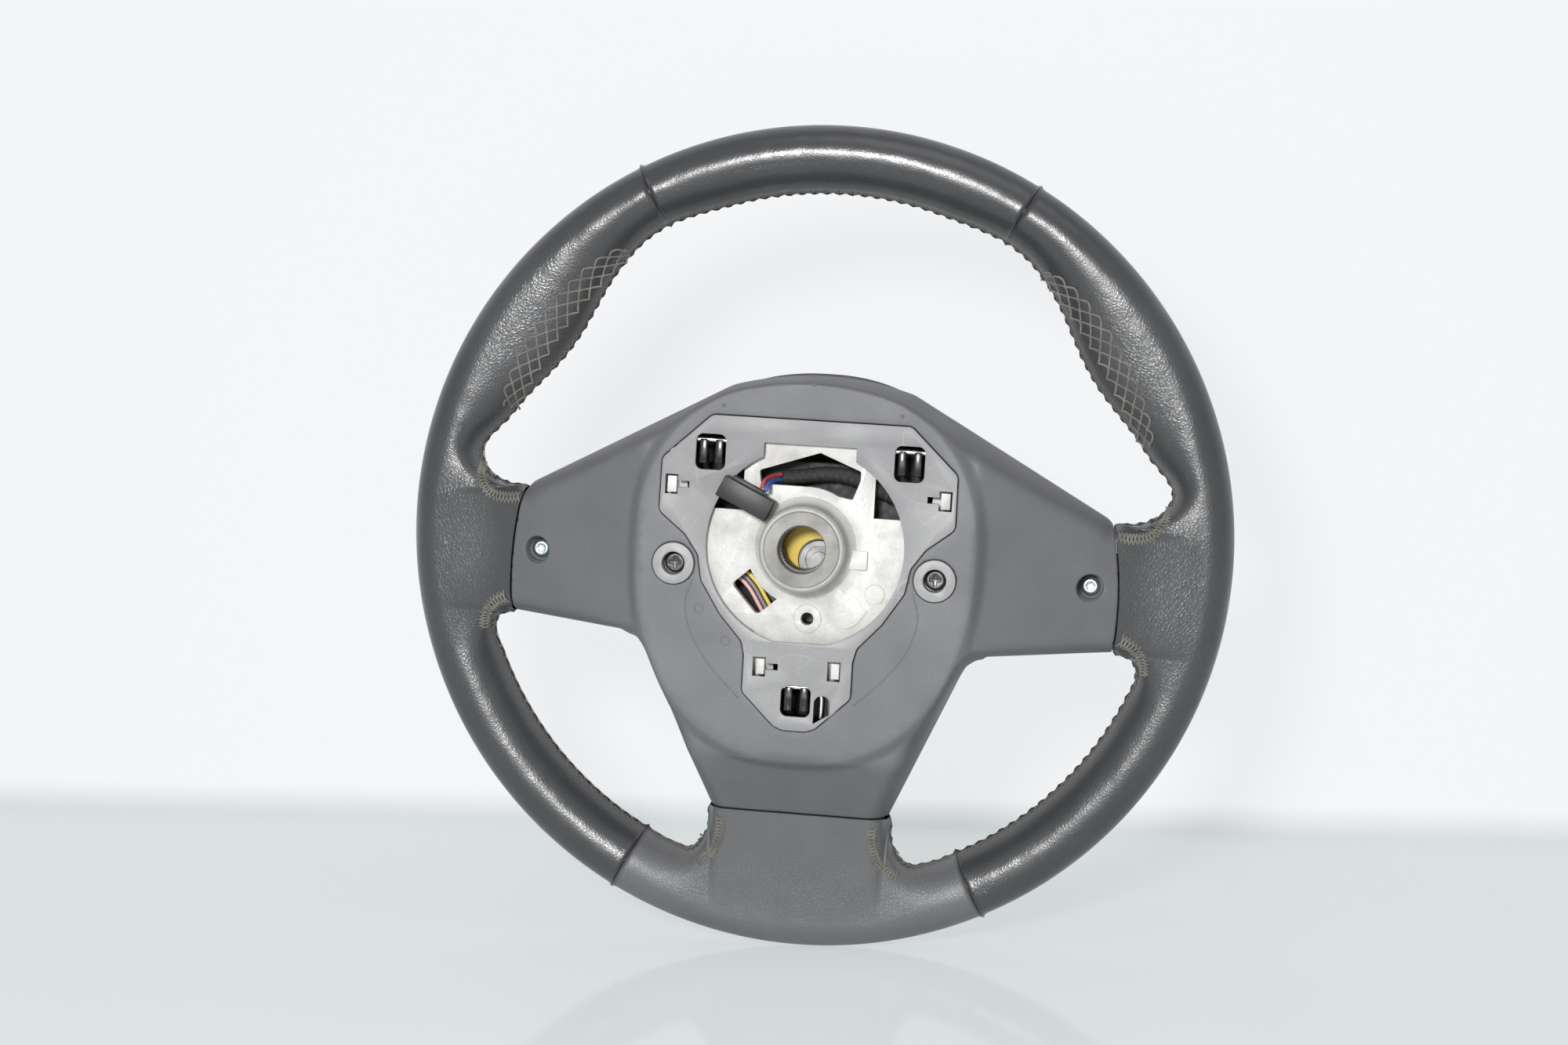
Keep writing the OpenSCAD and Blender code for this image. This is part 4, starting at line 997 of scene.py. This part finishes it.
def stitch_tree():
    """Thread sewn in a zig-zag along a path whose points carry the directions across and out."""
    tree = bpy.data.node_groups.new("zigzag_seam", "GeometryNodeTree")
    face = tree.interface
    face.new_socket(name="Geometry", in_out="INPUT", socket_type="NodeSocketGeometry")
    for label, value in (("Pitch", 0.006), ("Width", 0.005), ("Shift", 0.0), ("Phase", 0.0), ("Lift", 0.0004),
                         ("Thread", 0.0004)):
        face.new_socket(name=label, in_out="INPUT", socket_type="NodeSocketFloat").default_value = value
    face.new_socket(name="Finish", in_out="INPUT", socket_type="NodeSocketMaterial")
    face.new_socket(name="Geometry", in_out="OUTPUT", socket_type="NodeSocketGeometry")
    w = Wiring(tree)
    ins, out = w.node("NodeGroupInput").outputs, w.node("NodeGroupOutput")
    curve = w.first("GeometryNodeMeshToCurve", {"Mesh": ins["Geometry"]})
    step = w.math("DIVIDE", ins["Pitch"], 8.0)
    resampled = w.first("GeometryNodeResampleCurve", {"Curve": curve, "Length": step}, mode="LENGTH")
    across = w.first("GeometryNodeInputNamedAttribute", {"Name": "across"}, data_type="FLOAT_VECTOR")
    outwards = w.first("GeometryNodeInputNamedAttribute", {"Name": "out"}, data_type="FLOAT_VECTOR")
    count = w.plus(w.first("GeometryNodeInputIndex"), w.times(ins["Phase"], 8.0))
    swing = w.math("SUBTRACT", w.math("DIVIDE", w.math("PINGPONG", count, 4.0), 2.0), 1.0)
    aside = w.plus(w.times(w.times(swing, 0.5), ins["Width"]), ins["Shift"])
    sink = w.math("POWER", w.math("ABSOLUTE", swing), 6.0)
    lift = w.times(ins["Lift"], w.math("SUBTRACT", 1.0, w.times(sink, 1.9)))
    move = w.vmath("ADD", w.vmath("SCALE", across, aside), w.vmath("SCALE", outwards, lift))
    placed = w.first("GeometryNodeSetPosition", {"Geometry": resampled, "Offset": move})
    ring = w.first("GeometryNodeCurvePrimitiveCircle", {"Resolution": 6, "Radius": ins["Thread"]})
    swept = w.first("GeometryNodeCurveToMesh", {"Curve": placed, "Profile Curve": ring, "Fill Caps": True})
    real = w.first("GeometryNodeRealizeInstances", {"Geometry": swept})
    finished = w.first("GeometryNodeSetMaterial", {"Geometry": real, "Material": ins["Finish"]})
    w.feed(out.inputs["Geometry"], finished)
    return tree


SEAM = stitch_tree()


def sewn(name, paths, finish, **sizes):
    """Stitches along paths of (point, across, out) rows, one object for all of them."""
    parts = []
    for path, changes in paths:
        points, across, outs = (arr(v) for v in zip(*path))
        mesh = bpy.data.meshes.new("path")
        mesh.from_pydata((points * MM).tolist(), [(i, i + 1) for i in range(len(points) - 1)], [])
        for key, values in (("across", across), ("out", outs)):
            mesh.attributes.new(key, "FLOAT_VECTOR", "POINT").data.foreach_set("vector", values.ravel())
        obj = place("path", mesh)
        sew = obj.modifiers.new("sew", "NODES")
        sew.node_group = SEAM
        given = {**sizes, **changes}
        for item in SEAM.interface.items_tree:
            if item.item_type == "SOCKET" and item.in_out == "INPUT" and item.name != "Geometry":
                if item.name == "Finish":
                    sew[item.identifier] = FINISHES[finish]
                elif item.name in given:
                    sew[item.identifier] = float(given[item.name]) * (1 if item.name == "Phase" else MM)
        parts.append(settled(obj))
        bpy.data.objects.remove(obj)
    whole = bmesh.new()
    for mesh in parts:
        whole.from_mesh(mesh)
    bmesh.ops.recalc_face_normals(whole, faces=whole.faces)
    mesh = bpy.data.meshes.new(name)
    whole.to_mesh(mesh)
    whole.free()
    dress(place(name, mesh), finish, slot="leather")


def seam_path(panel, d0, d1, sink):
    """Along the inner seam of a panel, sunk a little into it."""
    rows = []
    for d in np.linspace(d0, d1, max(3, int((d1 - d0) / 2))):
        p = panel.point(d, 0.0)
        along = unit(panel.point(min(panel.length, d + 0.5), 0.0) - panel.point(max(0, d - 0.5), 0.0))
        out = unit(-np.array([p[0], 0.0, p[2]]))
        out = unit(out - np.dot(out, along) * along)
        rows.append((p - out * sink, np.cross(along, out), out))
    return rows


def seam_run(panel):
    """The lengths of a panel along which its inner seam is sewn: all but the spoke's opening."""
    ds = np.arange(2.5, panel.length - 2.5, 1.0)
    runs, start = [], None
    for d in np.append(ds, ds[-1] + 1):
        mid_share, opened = panel.station(d)[3:]
        shut = d <= ds[-1] and opened < 0.12 and mid_share < 0.6
        if shut and start is None:
            start = d
        if not shut and start is not None:
            runs.append((start, d - 1))
            start = None
    return [r for r in runs if r[1] - r[0] > 8]


def lattice_path(panel, a0, a1):
    """Along the middle of the sewn lattice on a thumb rest."""
    rows = []
    for d in np.arange(0, panel.length, 1.5):
        a = panel.station(d)[2]
        a = 180 - a if a > 90 else a
        if a0 < a < a1:
            middle = 45 * math.sin(math.pi * (a - a0) / (a1 - a0)) ** 0.45 + 4
            rows.append(panel.frame_at(d, max(6.0, middle)))
    return rows


def on_surface(obj, plan):
    """A path in plan laid on the rear of a piece."""
    tree = BVHTree.FromObject(obj, bpy.context.evaluated_depsgraph_get())
    hits = [tree.ray_cast(Vector((x * MM, -0.2, z * MM)), Vector((0, 1, 0))) for x, z in plan]
    hits = [(arr(hit) / MM, arr(normal)) for hit, normal, _, _ in hits if hit is not None]
    rows = []
    for i, (p, n) in enumerate(hits):
        along = unit(hits[min(len(hits) - 1, i + 1)][0] - hits[max(0, i - 1)][0])
        n = unit(n - np.dot(n, along) * along)
        rows.append((p, np.cross(along, n), n))
    return rows


def crossed(line, **sizes):
    """Two zig-zags half a stitch apart, so that their threads cross."""
    return [(line, {"Phase": phase, **sizes}) for phase in (0, 0.5)]


def sew_leather(skins):
    paths = []
    for panel in (TOP, RIGHT, LEFT, BOTTOM):
        for d0, d1 in seam_run(panel):
            paths += crossed(seam_path(panel, d0, d1, 0.5))
    sewn("inner_seam_stitches", paths, "thread_dull", Pitch=6.2, Width=5.0, Lift=0.5, Thread=0.42)
    rows = []
    for panel in (RIGHT, LEFT):
        line = lattice_path(panel, 19, 53)
        rows += [(line, {"Shift": -4.8 + 3.2 * k, "Phase": 0.5 * (k % 2)}) for k in range(4)]
    sewn("thumb_rest_lattice", rows, "thread", Pitch=8.0, Width=3.2, Lift=0.35, Thread=0.5)
    upper = [(133.5, 11.5), (141, 10.6), (148.5, 12.5), (153, 18), (155.5, 25)]
    lower = [(137.5, -34), (143, -37), (147.5, -43), (149, -50)]
    foot = [(34, -125.5), (34.5, -134), (38, -143), (45, -149)]
    roots = []
    for s, key, plan, width in (
            (1, "right", upper, 5.2), (1, "right", lower, 6.0), (-1, "left", upper, 5.2),
            (-1, "left", lower, 6.0), (-1, "bottom", foot, 5.0), (1, "bottom", foot, 5.0)):
        roots += crossed(on_surface(skins[key], curve_through(plan) * [s, 1]), Width=width)
    sewn("spoke_root_stitches", roots, "thread", Pitch=3.4, Lift=0.35, Thread=0.36)


# Parts round the hub

def laid_on(depth_of, plan, lift):
    """A path in plan, a little inside the cover's rear surface."""
    return np.stack([plan[:, 0], depth_of(plan) + lift, plan[:, 1]], 1)


def ridges(depth_of):
    """Moulded lines and gate marks on the cover's raised middle."""
    arcs = [curve_through([(s * 48, -17), (s * 50.5, -28), (s * 47, -41), (s * 38, -54), (s * 25, -67)], 10)
            for s in (-1, 1)]
    rings = [closed(turn_loop(x, z, 2.0, 28)) for x, z in ((-44.5, -29), (-32, -42.5))]
    for name, plans, lift, r in (("cover_ridges", arcs, 0.25, 0.45), ("cover_gate_rings", rings, 0.15, 0.3)):
        tube_piece(name, [laid_on(depth_of, a, lift) for a in plans], r, "cover", 8, slot="cover_grey")
    for k, (x, z) in enumerate(((0, 70.3), (-38.5, 59), (38.5, 59))):
        y = float(depth_of(arr([[x, z]]))[0])
        pip = [(0, y - 0.4), (0.6, y - 0.35), (0.95, y + 0.1), (0.95, y + 0.8), (0, y + 0.8)]
        lathe("cover_pip_%d" % k, pip, x, z, "cover", 20, slot="cover_grey")


def screw_cups(depth_of):
    for s, side in ((1, "right"), (-1, "left")):
        y = float(depth_of(arr([[s * (TORX_X + TORX_R), TORX_Z]]))[0])
        profile = [(TORX_R + 0.25, y + 1.0), (TORX_R, y + 1.3), (TORX_R, CUP_FLOOR - 0.6),
                   (TORX_R - 0.5, CUP_FLOOR), (2.5, CUP_FLOOR), (2.5, CUP_FLOOR + 1.5),
                   (TORX_R + 1.5, CUP_FLOOR + 1.5), (TORX_R + 1.5, y + 2.4)]
        lathe(side + "_screw_cup", profile, s * TORX_X, TORX_Z, "cover", slot="cover_grey")


# Front side

BAY = arr([(66.9, 37.5), (88.0, 28.1), (105.8, 18.3), (125.9, 14.7), (126.7, 13.6), (126.3, 10.5),
           (125.6, 5.4), (123.3, -5.7), (124.1, -20.4), (127.7, -31.1), (115.7, -31.3), (95.2, -33.7),
           (72.9, -39.0)])
PAD_X, PAD_UP, PAD_DOWN, PAD_GAP, PAD_FRONT, PAD_BACK = 72.5, 74.3, 88.0, 1.2, 82.0, 62.0
SPLIT_ANGLE, START_ANGLE = -39.0, 44.9


def egg_loop(w, up, down, n=200):
    a = math.pi / 2 - np.linspace(0, 2 * math.pi, n, endpoint=False)
    u = np.stack([np.cos(a), np.sin(a)], 1)
    return u / egg_ratio(u, w, up, down)[:, None]


PAD_HOLE = egg_loop(PAD_X + PAD_GAP, PAD_UP + PAD_GAP, PAD_DOWN + PAD_GAP)
RIGHT_BAY = np.concatenate([spaced(BAY, 2.0), [(40, -30), (40, 30)]])


def front_depth(p):
    bay_edge = spaced(BAY, 2.0)
    edges = [chain_far(p, chain) for chain in (closed(PAD_HOLE), bay_edge * [-1, 1], bay_edge)]
    edges.append(leather_far(p))
    rounding = 0.6 * (1 - quarter(np.minimum.reduce(edges) / 0.7))
    return PART_Y + (SPOKE_FRONT - rounding - PART_Y) * edge_share(p)


def back_depth(p):
    near = smooth(1 - leather_far(p) / 6)
    back = PART_Y + 0.05 + (SPOKE_FRONT - 4 - PART_Y) * near
    return np.minimum(back, np.maximum(PART_Y, front_depth(p) - 0.8))


def front_frames():
    bays = [RIGHT_BAY, RIGHT_BAY[::-1] * [-1, 1]]
    cuts = [arr([polar(50, a), polar(110, a)])
            for a in (SPLIT_ANGLE, START_ANGLE, 180 - SPLIT_ANGLE, 180 - START_ANGLE)]
    grid = grid_points(4.0, (-136, -122), (136, 76))
    loose = np.concatenate([loop_rows(OUTLINE, EDGE_ROWS, edge_width(OUTLINE)),
                            grid[within(grid, OUTLINE) & (edge_far(grid) > 3)]]
                           + [grown(loop, d) for loop in bays + [PAD_HOLE] for d in (0.1, 0.3, 0.7)])

    def sector(low, high, across):
        def keep(c):
            a = np.degrees(np.arctan2(c[:, 1], across(c[:, 0])))
            return between(c, OUTLINE, [PAD_HOLE] + bays) & (a > low) & (a < high)
        return keep

    for name, node, keep in (("right_frame", "right_bezel", sector(SPLIT_ANGLE, START_ANGLE, np.positive)),
                             ("left_frame", "left_bezel", sector(SPLIT_ANGLE, START_ANGLE, np.negative)),
                             ("lower_frame", "lower_trim", sector(-91, SPLIT_ANGLE, np.abs))):
        sheet(name, [OUTLINE, PAD_HOLE] + bays + cuts, loose, keep, front_depth, back_depth, "trim",
              replaces=(node,), slot="trim_grey")


def module_cover():
    size = (PAD_X, PAD_UP, PAD_DOWN)
    loop = egg_loop(*size)
    rows = [loop * s for s in (0.9985, 0.994, 0.986, 0.974, 0.958, 0.945, 0.93, 0.90, 0.86, 0.81)]
    grid = grid_points(6.0, (-70, -86), (70, 72))
    edge = SPOKE_FRONT + 1

    def dome(p):
        r = np.clip(egg_ratio(p, *size), 0, 1)
        return edge + (PAD_FRONT - edge) * np.sqrt(np.maximum(0, 1 - r ** 4))

    def under(p):
        return np.where(egg_ratio(p, *size) > 0.9595, PAD_BACK, dome(p) - 3)

    sheet("airbag_skin", [loop], np.concatenate(rows + [grid[egg_ratio(grid, *size) < 0.78]]),
          lambda c: within(c, loop), dome, under, "trim", body="airbag_module", replaces=("airbag_cover",),
          slot="trim_grey")


# Wires

def arc(x, z, r, degrees):
    return [(x + r * math.cos(math.radians(a)), z + r * math.sin(math.radians(a))) for a in degrees]


SPRING = ([(-11, -7), (-11, 1)] + arc(-6, 0.8, 5, range(165, 100, -15)) + [(-3, 5.8), (3, 5.8)]
          + arc(6, 0.8, 5, range(75, 10, -15)) + [(11, 1), (11, -7)])
WIRE_Y, WIRE_R = PLATE_Y + 3.8, 1.1
COIL_R, COIL_TURNS, COIL_NEAR, COIL_FAR, COIL_CIRCLE = 2.6, 4, 23.8, 32.1, 38.0
TRUNK_R, LEAD_R, LEAD_PITCH = 3.4, 0.9, 2.1
LOOM = [(-12, 27.5, 29), (-4, 27.5, 30), (6, 27.5, 31.5), (16, 27.5, 31), (27, 28, 27), (38, 29, 22.5),
        (48, 28.6, 20), (57, 32.6, 18), (66, 41, 16), (76, 50, 13), (83, 55.5, 9), (88, 59.4, 5)]
RED = [(-12.8, 27, 30.2), (-15, 24.5, 30), (-17, 20, 29.4), (-18.5, 15, 28.4), (-19, 10.5, 27.2),
       (-19.4, 7.5, 25.2)]
BLUE = [(-12.9, 27, 27.8), (-14.5, 24, 27.8), (-16, 19, 27.6), (-17, 14, 27), (-17.2, 9.5, 25.8),
        (-17.2, 6.5, 24.2)]
LEADS = arr([(-11.5, 26, -37), (-15, 26, -31.5), (-19, 26, -25), (-23, 26, -19), (-29, 26.4, -14),
             (-38, 27, -12.5), (-50, 29.5, -14), (-62, 35, -17), (-75, 43.5, -19), (-85, 52, -18),
             (-92, 62, -15.8)])


def beside(k):
    """The route of a lead that lies k places beside the middle one."""
    t = np.gradient(LEADS, axis=0)
    return LEADS + unit(np.stack([t[:, 2], 0 * t[:, 0], -t[:, 0]], 1)) * LEAD_PITCH * k


def horn_coil(angle):
    x, z = polar(COIL_CIRCLE, angle)
    steps = 20 * COIL_TURNS
    return [(x + COIL_R * math.cos(2 * math.pi * i / 20), COIL_NEAR + (COIL_FAR - COIL_NEAR) * i / steps,
             z + COIL_R * math.sin(2 * math.pi * i / 20)) for i in range(steps + 1)]


def wiring():
    springs = [curve_through([(x + u, WIRE_Y, z + v) for u, v in SPRING], 3)
               for x, z in ((-43, 38), (43, 38), (0, -66.7))]
    coils = [horn_coil(a) for a in (10, 170, 282)]
    for name, routes, r, sides, node in (("hook_wires", springs, WIRE_R, 14, "retaining_springs"),
                                         ("horn_coils", coils, 0.6, 8, "horn_springs")):
        tube_piece(name, routes, r, "wire", sides, replaces=(node,), slot="spring_steel")
    tube_piece("taped_trunk", [curve_through(LOOM, 14)], TRUNK_R, "tape", 22,
               swell=lambda d: 0.045 * math.sin(d * 1.9) + 0.035 * math.sin(d * 4.3 + 1) - 0.05,
               replaces=("loom",), slot="black_tape")
    for colour, route in (("red", RED), ("blue", BLUE), ("pink", beside(-1)), ("grey", beside(0)),
                          ("yellow", beside(1))):
        tube_piece("lead_" + colour + "_smooth", [curve_through(route)], LEAD_R, colour, 12,
                   replaces=("lead_" + colour,), slot="wire_" + colour)


# Stage and lamps

FLOOR_Z, WHEEL_TURN = -0.186, math.radians(3.36)
FLOOR_NEAR, WALL_Y, WALL_TOP, COVE_R, HALF_WIDTH = -0.55, 0.38, 2.4, 0.02, 3.0


def pale_stage():
    f = Finish("pale_paper", Specular_IOR_Level=0.35)
    face = f.node("ShaderNodeNewGeometry").outputs
    is_floor = f.band(f.node("ShaderNodeSeparateXYZ", {0: face["Normal"]}).outputs[2], 0.2, 0.9)
    f.wire("Base Color", f.mix(is_floor, (0.86, 0.865, 0.88), (0.74, 0.77, 0.77)))
    f.wire("Roughness", f.band(is_floor, 0.0, 1.0, 0.9, 0.09))
    ray = f.node("ShaderNodeLightPath").outputs
    mirrored = f.math("MAXIMUM", ray["Is Glossy Ray"], ray["Is Transmission Ray"])
    seen = f.math("MAXIMUM", ray["Is Camera Ray"], mirrored)
    glow = f.node("ShaderNodeEmission", {"Color": f.mix(is_floor, (0.95, 0.96, 0.98), (0.80, 0.85, 0.85)),
                                         "Strength": 1.0}).outputs[0]
    share = f.times(seen, f.band(is_floor, 0.0, 1.0, 0.82, 0.62))
    both = f.first("ShaderNodeMixShader", {0: share, 1: f.shader.outputs[0], 2: glow})
    clear = f.first("ShaderNodeBsdfTransparent")
    one_sided = f.first("ShaderNodeMixShader", {0: face["Backfacing"], 1: both, 2: clear})
    f.feed(f.tree.nodes["Material Output"].inputs["Surface"], one_sided)
    cove = [(WALL_Y - COVE_R + COVE_R * math.sin(a), FLOOR_Z + COVE_R - COVE_R * math.cos(a))
            for a in np.linspace(0, math.pi / 2, 9)]
    profile = [(FLOOR_NEAR, FLOOR_Z)] + cove + [(WALL_Y, WALL_TOP)]
    c, s = math.cos(WHEEL_TURN), math.sin(WHEEL_TURN)
    points = [(x * c - (z - FLOOR_Z) * s, y, FLOOR_Z + x * s + (z - FLOOR_Z) * c)
              for y, z in profile for x in (-HALF_WIDTH, HALF_WIDTH)]
    mesh = bpy.data.meshes.new("pale_stage")
    mesh.from_pydata(points, [], [(2 * i, 2 * i + 1, 2 * i + 3, 2 * i + 2) for i in range(len(profile) - 1)])
    mesh.materials.append(f.material)
    mesh.shade_smooth()
    place("pale_stage", mesh)


def light_scene():
    soft_lamp("lamp_front", (-0.08, -1.24, 0.27), (0, 0.03, 0), (0.17, 0.15), 13.8)
    soft_lamp("lamp_above", (0.3, -0.7, 1.5), (0, 0.0, 0), (1.2, 0.8), 3.0)
    soft_lamp("lamp_low", (0.0, -1.32, -0.06), (0, 0.0, -0.1), (1.0, 0.2), 2.2)
    world = bpy.data.worlds.new("studio")
    bpy.context.scene.world = world
    world.use_nodes = True
    w = Wiring(world.node_tree)
    ray = w.node("ShaderNodeLightPath").outputs
    seen = w.times(w.math("MAXIMUM", ray["Is Camera Ray"], ray["Is Transmission Ray"]), 0.8)
    level = w.plus(0.16, w.plus(seen, w.times(ray["Is Glossy Ray"], 0.36)))
    back = world.node_tree.nodes["Background"].inputs
    w.feed(back["Color"], (0.95, 0.97, 1.0))
    w.feed(back["Strength"], level)


# Everything together

place_camera()
skins = {key: leather_skin(key, panel, finish) for key, panel, finish in (
    ("top", TOP, "leather"), ("right", RIGHT, "leather"), ("left", LEFT, "leather"),
    ("bottom", BOTTOM, "leather_low"))}
cover_depth = rear_cover()
ridges(cover_depth)
screw_cups(cover_depth)
front_frames()
module_cover()
wiring()
sew_leather(skins)
for node, width, finish, slot, body in (
        ("armature", 0.5, "cast", "cast_alloy", "wheel"), ("hub_plate", 0.3, "plate", "plate_grey", "wheel"),
        ("screw_sleeves", 0.3, "sleeve", "sleeve_grey", "wheel"),
        ("loom_connector", 0.3, "black", "black_plastic", "wheel"),
        ("spoke_screws", 0.12, "screw", "screw_steel", "wheel"),
        ("sleeve_screws", 0.15, "black_screw", "black_screw", "wheel"),
        ("loom_clip", 0.2, "black", "black_plastic", "wheel"),
        ("module_hooks", 0.5, "gloss", "black_plastic", "airbag_module"),
        ("airbag_canister", 0.6, "canister", "canister_steel", "airbag_module")):
    softened(node, width, finish, slot, body)
for side in ("left", "right"):
    softened(side + "_switch_housing", 0.3, "black", "black_plastic")
    for part in ("rocker", "upper_button", "lower_button"):
        node = side + "_" + part
        softened(node, 0.5, "black", "black_plastic", body=node, segments=3)
foam_core()
for node, finish in {"spline_bush": "bush", "inflator": "inflator", "squib_connector": "plug"}.items():
    nodes[node].data.materials.clear()
    nodes[node].data.materials.append(FINISHES[finish])
pale_stage()
light_scene()
bpy.context.scene.view_settings.view_transform = "Standard"
